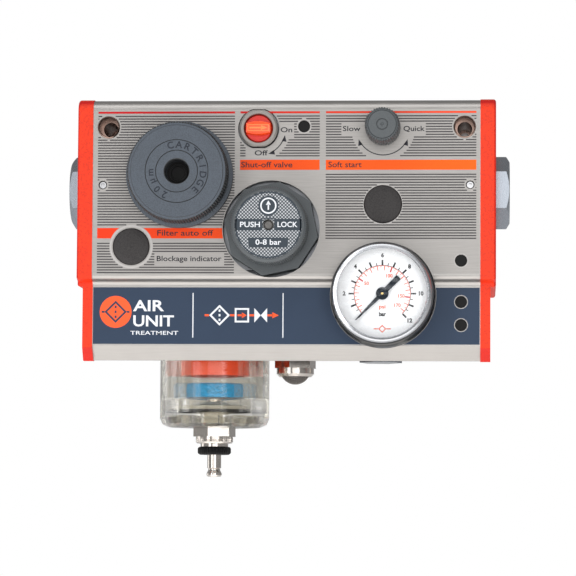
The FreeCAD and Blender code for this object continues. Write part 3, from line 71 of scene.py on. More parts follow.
class Look:
    """A procedural material. Its patterns lie in the row frame, so they travel with their piece."""

    def __init__(self, name, colour, roughness, metallic=0.0, **sockets):
        self.name = name
        self.made = bpy.data.materials.new(name)
        self.made.use_nodes = True
        self.nodes = self.made.node_tree.nodes
        self.links = self.made.node_tree.links
        self.shader = self.nodes["Principled BSDF"]
        self.shader.inputs["Base Color"].default_value = colour
        self.shader.inputs["Roughness"].default_value = roughness
        self.shader.inputs["Metallic"].default_value = metallic
        self.made.diffuse_color = colour
        for socket, number in sockets.items():
            self.shader.inputs[socket.replace("_", " ")].default_value = number
        self.where = self.nodes.new("ShaderNodeTexCoord").outputs["Object"]

    def wire(self, source, node, socket):
        """Links an output to a node's socket, and gives the node."""
        self.links.new(source, node.inputs[socket])
        return node

    def math(self, operation, first, second=0.0):
        """Two numbers or outputs, combined."""
        node = self.nodes.new("ShaderNodeMath")
        node.operation = operation
        for index, term in enumerate((first, second)):
            if isinstance(term, (int, float)):
                node.inputs[index].default_value = term
            else:
                self.links.new(term, node.inputs[index])
        return node.outputs[0]

    def axis(self, letter):
        """One coordinate of the row frame, in metres."""
        split = self.wire(self.where, self.nodes.new("ShaderNodeSeparateXYZ"), 0)
        return split.outputs[letter]

    def grain(self, size, detail=3.0):
        """Noise whose features are size millimetres: one number, or (x, y, z)."""
        size = size if isinstance(size, tuple) else (size, size, size)
        mapping = self.wire(self.where, self.nodes.new("ShaderNodeMapping"), "Vector")
        mapping.inputs["Scale"].default_value = [1 / (length * MM) for length in size]
        noise = self.wire(mapping.outputs[0], self.nodes.new("ShaderNodeTexNoise"), "Vector")
        noise.inputs["Scale"].default_value = 1.0
        noise.inputs["Detail"].default_value = detail
        noise.inputs["Roughness"].default_value = 0.55
        return noise.outputs["Fac"]

    def ramp(self, value, low, high, first, last):
        """value from low to high becomes first to last."""
        node = self.wire(value, self.nodes.new("ShaderNodeMapRange"), "Value")
        for socket, number in (("From Min", low), ("From Max", high), ("To Min", first), ("To Max", last)):
            node.inputs[socket].default_value = number
        return node.outputs[0]

    def blend(self, share, first, last):
        """first where share is 0, last where it is 1. Either may be a colour or a pattern's output."""
        node = self.nodes.new("ShaderNodeMix")
        node.data_type = "RGBA"
        self.links.new(share, node.inputs["Factor"])
        for socket, colour in ((6, first), (7, last)):
            if isinstance(colour, tuple):
                node.inputs[socket].default_value = colour
            else:
                self.links.new(colour, node.inputs[socket])
        return node.outputs[2]

    def clouded(self, colour, size, most, deep):
        """colour with a slow cloud of wear over it, where up to most of the deep colour shows."""
        return self.blend(self.ramp(self.grain(size, 2), 0.3, 0.75, most, 0), colour, deep)

    def paint(self, colour):
        """Base colour from a pattern."""
        self.wire(colour, self.shader, "Base Color")
        return self

    def roughen(self, value, low, high):
        """Roughness from low to high, following a pattern."""
        self.wire(self.ramp(value, 0.3, 0.7, low, high), self.shader, "Roughness")
        return self

    def bump(self, height, strength, depth):
        """Relief of depth millimetres."""
        node = self.wire(height, self.nodes.new("ShaderNodeBump"), "Height")
        node.inputs["Strength"].default_value = strength
        node.inputs["Distance"].default_value = depth * MM
        self.wire(node.outputs[0], self.shader, "Normal")
        return self


def plain_look(name, colour, low, high, grain, second, metallic, relief, spread=(0.35, 0.65), **sockets):
    """Colour and roughness that vary with a grain, over a slower cloud of wear, with a fine relief."""
    made = Look(name, colour, (low + high) / 2, metallic, **sockets)
    fine = made.grain(grain)
    varied = made.blend(made.ramp(fine, *spread, 0, 1), darker(colour, second), colour)
    made.paint(made.clouded(varied, 14, 0.18, darker(colour, 0.72)))
    made.roughen(fine, low, high)
    return made.bump(fine, 0.5, relief)


def edged_look(name, colour, edge, grain, low, high, relief, letters):
    """Textured plastic or paint, with painted shade: a deeper colour where its surface turns away from the
    axes in letters.
    """
    made = Look(name, colour, 0.45, Specular_IOR_Level=0.25)
    normal = made.nodes.new("ShaderNodeNewGeometry").outputs["Normal"]
    split = made.wire(normal, made.nodes.new("ShaderNodeSeparateXYZ"), 0)
    along = made.math("ABSOLUTE", split.outputs[letters[0]])
    for letter in letters[1:]:
        along = made.math("MAXIMUM", along, made.math("ABSOLUTE", split.outputs[letter]))
    # Painted shade: the share of the deeper colour grows as the normal turns away from every axis in
    # letters.
    shade_share = made.ramp(along, 0.72, 0.97, 1, 0)
    fine = made.grain(grain, 4)
    speckled = made.blend(made.ramp(fine, 0.38, 0.6, 0, 1), darker(colour, 0.72), colour)
    made.paint(made.clouded(made.blend(shade_share, speckled, edge), 16, 0.16, darker(edge, 0.8)))
    made.roughen(fine, low, high)
    return made.bump(fine, 0.65, relief)


def clear_look(name, colour, centre, rim, rough, **sockets):
    """Clear plastic or glass: open where it is seen square on, denser towards its edges."""
    made = Look(name, colour, rough, IOR=1.45, **sockets)
    weight = made.nodes.new("ShaderNodeLayerWeight")
    weight.inputs["Blend"].default_value = 0.5
    haze = made.grain((9, 9, 3), 2)
    dense = made.ramp(weight.outputs["Facing"], 0.05, 0.95, centre, rim)
    made.wire(made.math("ADD", dense, made.ramp(haze, 0.35, 0.7, -0.03, 0.05)), made.shader, "Alpha")
    made.roughen(haze, rough * 0.6, rough * 1.6)
    return made.bump(haze, 0.25, 0.12)


def stripe_of_light(name, warm, cool, left, right):
    """Printed ink that runs from one colour to another along X."""
    made = Look(name, warm, 0.42, Specular_IOR_Level=DULL)
    across = made.ramp(made.axis("X"), left * MM, right * MM, 0, 1)
    fine = made.grain(0.35)
    inked = made.blend(across, warm, cool)
    made.paint(made.blend(made.ramp(fine, 0.35, 0.6, 0.2, 0), inked, darker(warm, 0.6)))
    made.roughen(fine, 0.36, 0.5)
    return made.bump(fine, 0.3, 0.01)


def dotted_look(name, ground, dot, pitch, centre):
    """The regulator's printed disc: pale dots on a diagonal lattice over a dark film."""
    made = Look(name, ground, 0.35)
    turn = math.radians(45)
    x = made.math("SUBTRACT", made.axis("X"), centre[0] * MM)
    z = made.math("SUBTRACT", made.axis("Z"), centre[1] * MM)
    waves = []
    for first, second, sign in ((x, z, 1), (z, x, -1)):
        along = made.math("ADD", made.math("MULTIPLY", first, math.cos(turn)),
                          made.math("MULTIPLY", second, sign * math.sin(turn)))
        waves.append(made.math("SINE", made.math("MULTIPLY", along, 2 * math.pi / (pitch * MM))))
    both = made.math("ADD", *waves)
    fine = made.grain(0.3)
    made.paint(made.blend(made.ramp(both, 0.1, 0.7, 0, 1), ground, dot))
    made.roughen(fine, 0.3, 0.45)
    return made.bump(fine, 0.3, 0.01)


# Name: colour, least and most roughness, grain in mm, share of the deeper colour, metal, relief in mm.
PLAIN = {
    "brushed_body": (srgb(168, 165, 162), 0.3, 0.46, (18, 0.16, 0.16), 0.86, 1.0, 0.012),
    "block_alloy": (srgb(150, 152, 156), 0.32, 0.5, (0.4, 5, 0.4), 0.8, 1.0, 0.02),
    "steel": (srgb(190, 190, 192), 0.18, 0.34, 0.3, 0.82, 1.0, 0.01),
    "nickel": (srgb(206, 199, 192), 0.1, 0.22, (0.35, 0.35, 0.2), 0.78, 1.0, 0.012),
    "dark_nickel": (srgb(150, 156, 164), 0.16, 0.3, (0.3, 2.5, 2.5), 0.8, 1.0, 0.008),
    "wire_mesh": (srgb(128, 122, 116), 0.22, 0.36, 0.3, 0.7, 1.0, 0.03),
    "printed_aluminium": (srgb(162, 159, 156), 0.42, 0.56, (16, 0.22, 0.22), 0.8, 0.85, 0.008),
    "charcoal_plastic": (srgb(72, 77, 80), 0.4, 0.56, 0.45, 0.78, 0.0, 0.04),
    "rubber": (srgb(30, 30, 31), 0.6, 0.8, 0.4, 0.7, 0.0, 0.04),
    "filter_medium": (srgb(226, 222, 212), 0.75, 0.95, 0.5, 0.8, 0.0, 0.15),
    "white_plastic": (srgb(226, 226, 222), 0.4, 0.55, 0.6, 0.93, 0.0, 0.02),
    "float_blue": (srgb(44, 168, 236), 0.6, 0.85, 0.9, 0.42, 0.0, 0.12, (0.42, 0.58)),
    "gauge_black": (srgb(30, 31, 33), 0.26, 0.42, 0.6, 0.8, 0.0, 0.02),
    "polished_rim": (srgb(184, 186, 190), 0.16, 0.26, (2.5, 2.5, 0.3), 0.92, 1.0, 0.004),
    "dial_white": (srgb(244, 246, 248), 0.4, 0.5, 0.5, 0.97, 0.0, 0.004),
    "brass": (srgb(206, 178, 116), 0.2, 0.34, 0.3, 0.82, 1.0, 0.01),
    "bare_metal": (srgb(176, 173, 171), 0.48, 0.6, (12, 0.2, 0.2), 0.9, 0.8, 0.006),
    "gland_steel": (srgb(146, 142, 138), 0.42, 0.56, 0.3, 0.82, 1.0, 0.01),
    "sleeve_metal": (srgb(150, 128, 118), 0.24, 0.36, (2, 0.4, 2), 0.85, 1.0, 0.004),
    # Painted shade: the knob's screw, darkened for the shade at the bottom of the knob's bore.
    "screw_in_shade": (srgb(104, 102, 100), 0.4, 0.55, 0.3, 0.7, 0.6, 0.01),
    # Painted shade: the silencer's dome, near black for the shade inside the silencer behind its wires.
    "silencer_shade": (srgb(28, 25, 24), 0.5, 0.7, 0.3, 0.7, 0.4, 0.02),
    # Painted shade: the shut-off knob's base, its own orange plastic drawn deeper red.
    "orange_in_shade": (srgb(214, 30, 10), 0.3, 0.45, 0.6, 0.86, 0.0, 0.02),
    # Painted highlight: the rim of the shut-off knob's slot and its arrow, its own orange plastic drawn
    # paler.
    "orange_highlight": (srgb(255, 132, 66), 0.35, 0.5, 0.4, 0.85, 0.0, 0.01),
}
# The same, with the weak shine of a matt film or moulding.
MATT = {
    "blue_label": (srgb(42, 56, 76), 0.36, 0.5, 0.5, 0.93, 0.0, 0.008),
    "black_plastic": (srgb(9, 9, 10), 0.42, 0.6, 0.5, 0.4, 0.0, 0.05),
    "pointer_dark": (srgb(8, 22, 34), 0.35, 0.5, 0.5, 0.8, 0.0, 0.01),
    "stripe_ink": (srgb(64, 62, 64), 0.42, 0.55, 0.3, 0.86, 0.2, 0.006),
    "cap_letter": (srgb(40, 44, 52), 0.5, 0.6, 0.4, 0.8, 0.0, 0.01),
    "knob_film": (srgb(52, 60, 68), 0.32, 0.45, 0.4, 0.9, 0.0, 0.006),
}
# Name: colour, share of the deeper colour.
INKS = {
    "dark_ink": (srgb(40, 40, 46), 0.85),
    "black_ink": (srgb(24, 24, 28), 0.85),
    "pale_ink": (srgb(214, 217, 222), 0.95),
    "orange_ink": (srgb(236, 88, 44), 0.92),
    "dial_orange": (srgb(232, 92, 52), 0.92),
    "dial_red": (srgb(196, 26, 34), 0.92),
}
LOOKS = {name: plain_look(name, *numbers) for name, numbers in PLAIN.items()}
for name, numbers in MATT.items():
    LOOKS[name] = plain_look(name, *numbers, Specular_IOR_Level=DULL)
for name, (colour, second) in INKS.items():
    LOOKS[name] = plain_look(name, colour, 0.4, 0.5, 0.3, second, 0.0, 0.006, Specular_IOR_Level=DULL)
for look in (
    # Painted shade: the end covers turn deeper red on their chamfers and rounds, and the cartridge cap
    # darker on its knurled side.
    edged_look("end_orange", srgb(228, 54, 18), srgb(178, 6, 10), 0.8, 0.38, 0.6, 0.09, "XYZ"),
    edged_look("slate_plastic", srgb(78, 85, 94), srgb(58, 60, 62), 0.42, 0.42, 0.6, 0.06, "Y"),
    dotted_look("knob_print", srgb(48, 55, 62), srgb(176, 180, 184), 1.2, (-7.2, 0)),
    plain_look("orange_plastic", srgb(250, 74, 14), 0.24, 0.38, 0.8, 0.88, 0.0, 0.02, Coat_Weight=0.25),
    clear_look("clear_bowl", srgb(236, 231, 214), 0.5, 0.8, 0.04, Transmission_Weight=1.0,
               Specular_IOR_Level=1.0),
    clear_look("clear_lens", srgb(250, 252, 255), 0.012, 0.25, 0.03, Specular_IOR_Level=0.2),
    stripe_of_light("line_orange", srgb(180, 6, 14), srgb(226, 70, 30), -30, 95),
    stripe_of_light("bar_orange", srgb(214, 48, 6), srgb(232, 92, 4), -94, 95),
    plain_look("speckled_plug", srgb(50, 47, 47), 0.42, 0.6, 0.7, 0.45, 0.0, 0.06,
               Specular_IOR_Level=0.3),
    clear_look("milky_plastic", srgb(226, 220, 204), 0.5, 0.9, 0.2),
):
    LOOKS[look.name] = look


# ------------------------------------------------------------------ mesh pieces

SHARP = math.radians(28)


def finished(name, shape, body, slot, look=None, smooth=False):
    """Turns a bmesh in the row frame into a piece that rides on a body."""
    mesh = bpy.data.meshes.new(name)
    bmesh.ops.recalc_face_normals(shape, faces=shape.faces)
    shape.to_mesh(mesh)
    shape.free()
    if smooth:
        for face in mesh.polygons:
            face.use_smooth = True
        mesh.set_sharp_from_angle(angle=SHARP)
    mesh.materials.append(LOOKS[look or slot].made)
    piece = bpy.data.objects.new(name, mesh)
    bpy.context.scene.collection.objects.link(piece)
    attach(piece, body)
    return piece


def spot(node):
    """Centre X, centre Z and front reach of a CAD node."""
    low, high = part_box(node)
    return (low.x + high.x) / 2 / MM, (low.z + high.z) / 2 / MM, -low.y / MM


def hanging(node):
    """Centre X, centre Y, lowest and highest Z of a CAD node."""
    low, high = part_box(node)
    return (low.x + high.x) / 2 / MM, (low.y + high.y) / 2 / MM, low.z / MM, high.z / MM


def rectangle(left, right, low, high):
    """Outline of an upright rectangle."""
    return [(left, low), (right, low), (right, high), (left, high)]


def arc(cx, cz, inner, outer, start, end, steps=24):
    """Outline of a bent band from angle start to end, in degrees from +X towards +Z."""
    turns = [math.radians(start + (end - start) * index / steps) for index in range(steps + 1)]
    rim = [(cx + outer * math.cos(a), cz + outer * math.sin(a)) for a in turns]
    core = [(cx + inner * math.cos(a), cz + inner * math.sin(a)) for a in reversed(turns)]
    return rim + core


def ring(cx, cz, inner, outer):
    """A ring, as its two halves."""
    return [arc(cx, cz, inner, outer, 0, 180, 32), arc(cx, cz, inner, outer, 180, 360, 32)]


def circle(cx, cz, radius, steps=64):
    """Outline of a disc."""
    turns = [2 * math.pi * index / steps for index in range(steps)]
    return [(cx + radius * math.cos(a), cz + radius * math.sin(a)) for a in turns]


def arrow_head(x, z, angle, length, width):
    """A triangle whose tip is at (x, z) and which points along angle."""
    a = math.radians(angle)
    back = (x - length * math.cos(a), z - length * math.sin(a))
    side = (-math.sin(a) * width / 2, math.cos(a) * width / 2)
    return [(x, z), (back[0] + side[0], back[1] + side[1]), (back[0] - side[0], back[1] - side[1])]


FONT_PER_CAPITAL = 1.37


def printed(name, outlines, reach, thick, body, slot, look=None):
    """Flat shapes on a front face: each outline of (x, z) becomes a plate of that thickness."""
    shape = bmesh.new()
    for outline in outlines:
        front = [shape.verts.new((x * MM, -(reach + thick) * MM, z * MM)) for x, z in outline]
        back = [shape.verts.new((x * MM, -reach * MM, z * MM)) for x, z in outline]
        shape.faces.new(front)
        shape.faces.new(list(reversed(back)))
        for index in range(len(outline)):
            after = (index + 1) % len(outline)
            shape.faces.new((front[index], back[index], back[after], front[after]))
    return finished(name, shape, body, slot, look)


def lettering(name, lines, reach, thick, body, slot, look=None, weight=0.0):
    """Text on a front face. Each line is (words, centre x, centre z, height, width or 0, turn in degrees).

    The height is a capital's. A width of 0 keeps the font's own, and weight thickens the strokes.
    """
    shape = bmesh.new()
    for words, x, z, height, width, turn in lines:
        curve = bpy.data.curves.new(name, "FONT")
        curve.body = words
        curve.size = height * FONT_PER_CAPITAL * MM
        curve.align_x = "CENTER"
        curve.align_y = "CENTER"
        curve.extrude = thick / 2 * MM
        curve.offset = weight * MM
        curve.resolution_u = 3
        holder = bpy.data.objects.new(name, curve)
        mesh = bpy.data.meshes.new_from_object(holder)
        sides = [v.co.x for v in mesh.vertices]
        stretch = width * MM / (max(sides) - min(sides)) if width else 1.0
        mesh.transform(Matrix.Translation((x * MM, -(reach + thick / 2) * MM, z * MM))
                       @ Matrix.Rotation(math.radians(90), 4, "X")
                       @ Matrix.Rotation(math.radians(turn), 4, "Z")
                       @ Matrix.Diagonal((stretch, 1, 1, 1)))
        shape.from_mesh(mesh)
        bpy.data.meshes.remove(mesh)
        bpy.data.objects.remove(holder)
        bpy.data.curves.remove(curve)
    return finished(name, shape, body, slot, look)


def round_line(words, cx, cz, radius, height, middle, step):
    """One letter per entry of a line that runs clockwise around a centre, feet inwards."""
    start = middle + step * (len(words) - 1) / 2
    line = []
    for index, letter in enumerate(words):
        angle = start - step * index
        a = math.radians(angle)
        line.append((letter, cx + radius * math.cos(a), cz + radius * math.sin(a), height, 0, angle - 90))
    return line


POINTS_PER_TOOTH = 4
GROOVE_HALF = 0.22


def lathe(name, profile, centre, body, slot, look=None, upright=False, segments=96, teeth=None):
    """A turned piece. profile is (radius, reach), or (radius, z) when upright; centre is (x, z) or (x, y).

    teeth = (number, depth, inner, outer) notches every profile point between those two radii.
    """
    number, depth, inner, outer = teeth or (0, 0, 0, 0)
    count = number * POINTS_PER_TOOTH if teeth else segments
    shape = bmesh.new()
    rows = []
    for radius, along in profile:
        row = []
        for index in range(1 if radius == 0 else count):
            toothed = teeth and inner - 0.01 <= radius <= outer + 0.01
            notch = depth if toothed and index % POINTS_PER_TOOTH in (2, 3) else 0
            a = 2 * math.pi * index / count
            u, v = (radius - notch) * math.cos(a), (radius - notch) * math.sin(a)
            if upright:
                row.append(shape.verts.new(((centre[0] + u) * MM, (centre[1] + v) * MM, along * MM)))
            else:
                row.append(shape.verts.new(((centre[0] + u) * MM, -along * MM, (centre[1] + v) * MM)))
        rows.append(row)
    closed = len(rows[0]) > 1 and len(rows[-1]) > 1
    for low, high in zip(rows, rows[1:] + (rows[:1] if closed else [])):
        for index in range(count):
            after = (index + 1) % count
            corners = [low[index % len(low)], low[after % len(low)], high[after % len(high)],
                       high[index % len(high)]]
            shape.faces.new(list(dict.fromkeys(corners)))
    return finished(name, shape, body, slot, look, smooth=True)


def with_grooves(span, grooves, reach, deep):
    """The flat part of a turned face between two radii, from the inside out, with V grooves in it."""
    inner, outer = span
    points = []
    for radius in sorted(g for g in grooves if inner < g < outer):
        points += [(radius - GROOVE_HALF, reach), (radius, reach - deep), (radius + GROOVE_HALF, reach)]
    return points + [(outer, reach)]


# CAD nodes whose look differs from their slot's. The looks of the knob screw and of the silencer's dome are
# painted shade.
NODE_LOOKS = {"indicator_port_plug": "speckled_plug", "switch_port_plug": "speckled_plug",
              "shut_off_gland": "gland_steel", "knob_screw": "screw_in_shade",
              "mounting_sleeves": "sleeve_metal", "silencer_mesh": "silencer_shade",
              "drain_body": "milky_plastic"}
for node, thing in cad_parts.items():
    for holder in thing.material_slots:
        kind = holder.material.name.split(".")[0]
        holder.material = LOOKS[NODE_LOOKS.get(node, kind)].made


# ------------------------------------------------------------------ printed control face

CAP_X, CAP_Z, CAP_FRONT = spot("cartridge_cap")
SHUT_X, SHUT_Z, SHUT_FRONT = spot("shut_off_knob")
REG_X, REG_Z, REG_FRONT = spot("regulator_knob")
SOFT_X, SOFT_Z, SOFT_FRONT = spot("soft_start_knob")
GAUGE_X, GAUGE_Z, _ = spot("gauge_dial")
PLUG_X, PLUG_Z, _ = spot("indicator_port_plug")
SWITCH_X, SWITCH_Z, _ = spot("switch_port_plug")
LABEL = spot("control_label")[2]
BAND = spot("name_label")[2]
# The mounting bores and the locking screws, which both ends have alike, and the small dark holes.
FIX_X, FIX_Z = 88.9, 51.0
GRUB_X, GRUB_Z = 91.65, 22.0
DOTS = [(8.95, 51.35), (87.2, -15.8), (87.2, -36), (87.2, -47.5)]
DOT_RAD = 3.25
PRINT = 0.04
STRIPE_PITCH, STRIPE_WIDE = 1.33, 0.58
SHORTEST_STRIPE = 0.3

# Reach, thickness, body and slot of what is printed on each face.
ON_LABEL = (LABEL, PRINT, "unit", "printed_aluminium")
ON_BARS = (LABEL + PRINT, PRINT, "unit", "printed_aluminium")
ON_BAND = (BAND, PRINT, "unit", "blue_label")

# Left and right edge of each function's field, then its striped parts with top and bottom, then its bar.
ZONE_FILTER = (-94.2, -25.6)
ZONE_VALVE = (-22.9, 16.8)
ZONE_START = (19.9, 94.7)
TOP_LINE = (57.9, 58.9)
STRIPED = [(ZONE_FILTER, 56.8, 2.2), (ZONE_FILTER, -7.0, -21.8), (ZONE_VALVE, 56.8, 36.2),
           (ZONE_START, 56.8, 36.2), (ZONE_START, 27.5, -5.4)]
BARS = [(ZONE_FILTER, -4.8, 0.4), (ZONE_VALVE, 29.5, 34.6), (ZONE_START, 29.5, 34.5)]

# Where the stripes stop: round each part, in the field below a turning knob, and beside the words.
ROUND_GAPS = [(CAP_X, CAP_Z, 26.2), (PLUG_X, PLUG_Z, 10.9), (REG_X, REG_Z, 24.4),
              (SWITCH_X, SWITCH_Z, 9.8), (-FIX_X, FIX_Z, 6.2), (FIX_X, FIX_Z, 6.2),
              (-GRUB_X, GRUB_Z, 2.9), (GRUB_X, GRUB_Z, 2.9), (GAUGE_X, GAUGE_Z, 27),
              (SHUT_X, SHUT_Z, 10.8), (SOFT_X, SOFT_Z, 9.0)]
ROUND_GAPS += [(x, z, 3.7) for x, z in DOTS]
LOWER_GAPS = [(SHUT_X, SHUT_Z, 15.9, 0), (SOFT_X, SOFT_Z, 15.8, 1)]
SQUARE_GAPS = [(-65.4, -30.5, -18.3, -11.6), (SHUT_X, 4.0, 45.8, 53.2), (-20.2, -6.6, 35.2, 40.6),
               (27.6, 69.6, 46.6, 53.1)]


def stretches(left, right, low, high, lower_gaps=()):
    """What is left of a row from left to right, between low and high, once the gaps are taken out.

    lower_gaps lists the fields below the turning knobs: centre, radius and the share kept to the left.
    """
    closed = [(x0, x1) for x0, x1, z0, z1 in SQUARE_GAPS if z0 < high and z1 > low]
    rounds = [(cx, cz, radius, 1) for cx, cz, radius in ROUND_GAPS]
    rounds += [gap for gap in lower_gaps if low < gap[1]]
    for cx, cz, radius, leftward in rounds:
        away = max(low - cz, cz - high, 0)
        if away < radius:
            half = math.sqrt(radius * radius - away * away)
            closed.append((cx - half * leftward, cx + half))
    open_from = left
    found = []
    for start, end in sorted(closed):
        if start > open_from:
            found.append((open_from, min(start, right)))
        open_from = max(open_from, end)
        if open_from >= right:
            break
    if open_from < right:
        found.append((open_from, right))
    return [(a, b) for a, b in found if b - a > SHORTEST_STRIPE and a < right]


rows = []
for (left, right), top, bottom in STRIPED:
    for index in range(int((top - bottom) / STRIPE_PITCH) + 1):
        z = top - index * STRIPE_PITCH
        for start, end in stretches(left, right, z - STRIPE_WIDE, z, LOWER_GAPS):
            rows.append(rectangle(start, end, z - STRIPE_WIDE, z))
printed("control_stripes", rows, *ON_LABEL, "stripe_ink")
printed("top_line", [rectangle(*zone, *TOP_LINE) for zone in (ZONE_FILTER, ZONE_VALVE, ZONE_START)],
        *ON_LABEL, "line_orange")


BAR_ROWS = 14


def bar_pieces(left, right, low, high):
    """A bar cut into thin rows, so that it follows the round gaps beside it."""
    deep = (high - low) / BAR_ROWS
    pieces = []
    for index in range(BAR_ROWS):
        z = low + index * deep
        pieces += [rectangle(a, b, z, z + deep) for a, b in stretches(left, right, z, z + deep)]
    return pieces


bars = []
for (left, right), low, high in BARS:
    bars += bar_pieces(left, right, low, high)
printed("function_bars", bars, *ON_LABEL, "bar_orange")


LINE_WIDE, HEAD_LONG, HEAD_WIDE = 0.5, 3.2, 2.4
# Degrees: how far a head turns from the radius, and how much of the arc it covers.
HEAD_TURN, HEAD_COVER = 97.5, 6


def two_way_arrow(cx, cz, radius, start, end):
    """A thin bent line with an arrow head at both ends, from start to end degrees."""
    tips = []
    for angle, turn in ((start, -HEAD_TURN), (end, HEAD_TURN)):
        a = math.radians(angle)
        tips.append(arrow_head(cx + radius * math.cos(a), cz + radius * math.sin(a), angle + turn,
                               HEAD_LONG, HEAD_WIDE))
    return [arc(cx, cz, radius - LINE_WIDE / 2, radius + LINE_WIDE / 2, start + HEAD_COVER,
                end - HEAD_COVER)] + tips


arrows = two_way_arrow(SHUT_X, SHUT_Z, 13.5, -69, -14) + two_way_arrow(SOFT_X, SOFT_Z, 13.3, -156, -24)
printed("turning_arrows", arrows, *ON_LABEL, "dark_ink")

control_words = [("On", 0.2, 49.5, 2.6, 5.8, 0), ("Off", -12.6, 37.9, 2.6, 6.6, 0),
                 ("Slow", 32.6, 50.0, 2.6, 8.8, 0), ("Quick", 63.6, 50.0, 2.6, 10.6, 0),
                 ("Blockage indicator", -48.2, -15.0, 2.7, 32.4, 0)]
lettering("control_words", control_words, *ON_LABEL, "dark_ink", weight=0.055)
bar_words = [("Filter auto off", -50.4, -2.2, 2.9, 28.0, 0), ("Shut-off valve", -9.6, 32.0, 2.9, 25.6, 0),
             ("Soft start", 29.4, 32.0, 2.9, 16.6, 0)]
lettering("bar_words", bar_words, *ON_BARS, "dark_ink", weight=0.04)

# Bare metal shows around the plugs and the small holes: two holes on the label, two on the dark band.
rims = ring(PLUG_X, PLUG_Z, 9.9, 10.8) + ring(SWITCH_X, SWITCH_Z, 9.75, 10.3)
for x, z in DOTS[:2]:
    rims += ring(x, z, DOT_RAD, DOT_RAD + 0.35)
printed("bare_rims", rims, *ON_LABEL, "bare_metal")
band_rims = []
for x, z in DOTS[2:]:
    band_rims += ring(x, z, DOT_RAD, DOT_RAD + 0.2)
printed("band_rims", band_rims, *ON_BAND, "bare_metal")


# ------------------------------------------------------------------ dark band with plain pneumatic signs

SIGN_X, SIGN_Z, SIGN_R = -85.1, -41.2, 8.0
printed("filter_sign_disc", [circle(SIGN_X, SIGN_Z, SIGN_R)], *ON_BAND, "orange_ink")


def diamond(x, z, outer, wide):
    """A square on its corner, as the four mitred strokes of a line drawing."""
    corners = [(1, 0), (0, 1), (-1, 0), (0, -1)]
    inner = outer - wide * math.sqrt(2)
    strokes = []
    for index in range(4):
        (ax, az), (bx, bz) = corners[index], corners[(index + 1) % 4]
        strokes.append([(x + outer * ax, z + outer * az), (x + outer * bx, z + outer * bz),
                        (x + inner * bx, z + inner * bz), (x + inner * ax, z + inner * az)])
    return strokes


def frame_of(left, right, low, high, wide):
    """A rectangle drawn as four strokes."""
    return [rectangle(left, right, low, low + wide), rectangle(left, right, high - wide, high),
            rectangle(left, left + wide, low + wide, high - wide),
            rectangle(right - wide, right, low + wide, high - wide)]


def filter_sign(x, z, size, wide):
    """Diamond with a broken upright through it: the drawing sign for an air filter."""
    marks = diamond(x, z, size, wide)
    dash = size * 0.22
    for middle in (-0.44, 0, 0.44):
        marks.append(rectangle(x - wide / 2, x + wide / 2, z + middle * size - dash / 2,
                               z + middle * size + dash / 2))
    return marks


SIGN_HALF, STUB = 5.6, 1.4
sign = filter_sign(SIGN_X, SIGN_Z, SIGN_HALF, 0.95)
for left in (SIGN_X - SIGN_HALF - STUB, SIGN_X + SIGN_HALF):
    sign.append(rectangle(left, left + STUB, SIGN_Z - 0.48, SIGN_Z + 0.48))
printed("filter_sign", sign, BAND + PRINT, PRINT, "unit", "blue_label")
dividers = [rectangle(x - 0.25, x + 0.25, -54, -31.7) for x in (-46.3, -1.3)]
printed("band_dividers", dividers, *ON_BAND, "pale_ink")
band_words = [("AIR", -68.6, -38.4, 5.6, 15.6, 0), ("UNIT", -66.2, -46.0, 5.6, 20.4, 0)]
lettering("band_words", band_words, *ON_BAND, "pale_ink", weight=0.16)
small_words = [("TREATMENT", -65.6, -51.8, 2.0, 24.0, 0)]
lettering("band_small_words", small_words, *ON_BAND, "pale_ink", weight=0.02)

# Filter, regulator and valve signs in a row, with an orange line that runs through them to an arrow.
FLOW_Z, SIGN_TALL, SIGN_LINE = -42.8, 3.6, 0.9
FLOW_TOP, FLOW_LOW = FLOW_Z + SIGN_TALL, FLOW_Z - SIGN_TALL
VALVE_X, VALVE_HALF = -12.4, 3.2
FLOW_GAPS = ((-40.4, -38.3), (-27.7, -25.5), (-18.1, -15.7), (-9.1, -6.4))
flow = filter_sign(-33.0, FLOW_Z, 5.2, SIGN_LINE)
flow += frame_of(-25.4, -18.2, FLOW_LOW, FLOW_TOP, SIGN_LINE)
flow += [[(VALVE_X - VALVE_HALF, FLOW_TOP), (VALVE_X - VALVE_HALF, FLOW_LOW), (VALVE_X, FLOW_Z)],
         [(VALVE_X + VALVE_HALF, FLOW_TOP), (VALVE_X, FLOW_Z), (VALVE_X + VALVE_HALF, FLOW_LOW)]]
printed("flow_signs", flow, *ON_BAND, "pale_ink")
flow_line = [rectangle(a, b, FLOW_Z - 0.5, FLOW_Z + 0.5) for a, b in FLOW_GAPS]
flow_line += [rectangle(-24.0, -21.4, FLOW_Z - 0.45, FLOW_Z + 0.45),
              arrow_head(-19.4, FLOW_Z, 0, 2.4, 2.8), arrow_head(-3.4, FLOW_Z, 0, 3.2, 3.0)]
printed("flow_line", flow_line, *ON_BAND, "orange_ink")


# ------------------------------------------------------------------ gauge dial

ON_DIAL = (spot("gauge_dial")[2], PRINT, "unit", "dial_white")
BAR_FULL, START_ANGLE, SWEEP = 12.0, 225.0, 270.0
PSI_PER_BAR = 14.5038
PSI_FIFTIES = (50, 100, 150)
# Distances from the dial's centre: the foot of the ticks, their ends, and the numbers.
BAR_FOOT, BAR_LONG, BAR_SHORT, BAR_NUMBERS = 14.1, 16.7, 15.4, 18.9
PSI_FOOT, PSI_FIFTY, PSI_LONG, PSI_SHORT, PSI_NUMBERS = 13.7, 11.3, 11.5, 12.7, 9.3


def dial_angle(pressure):
    """Where a pressure in bar stands on the dial, in degrees from +X towards +Z."""
    return START_ANGLE - SWEEP * pressure / BAR_FULL


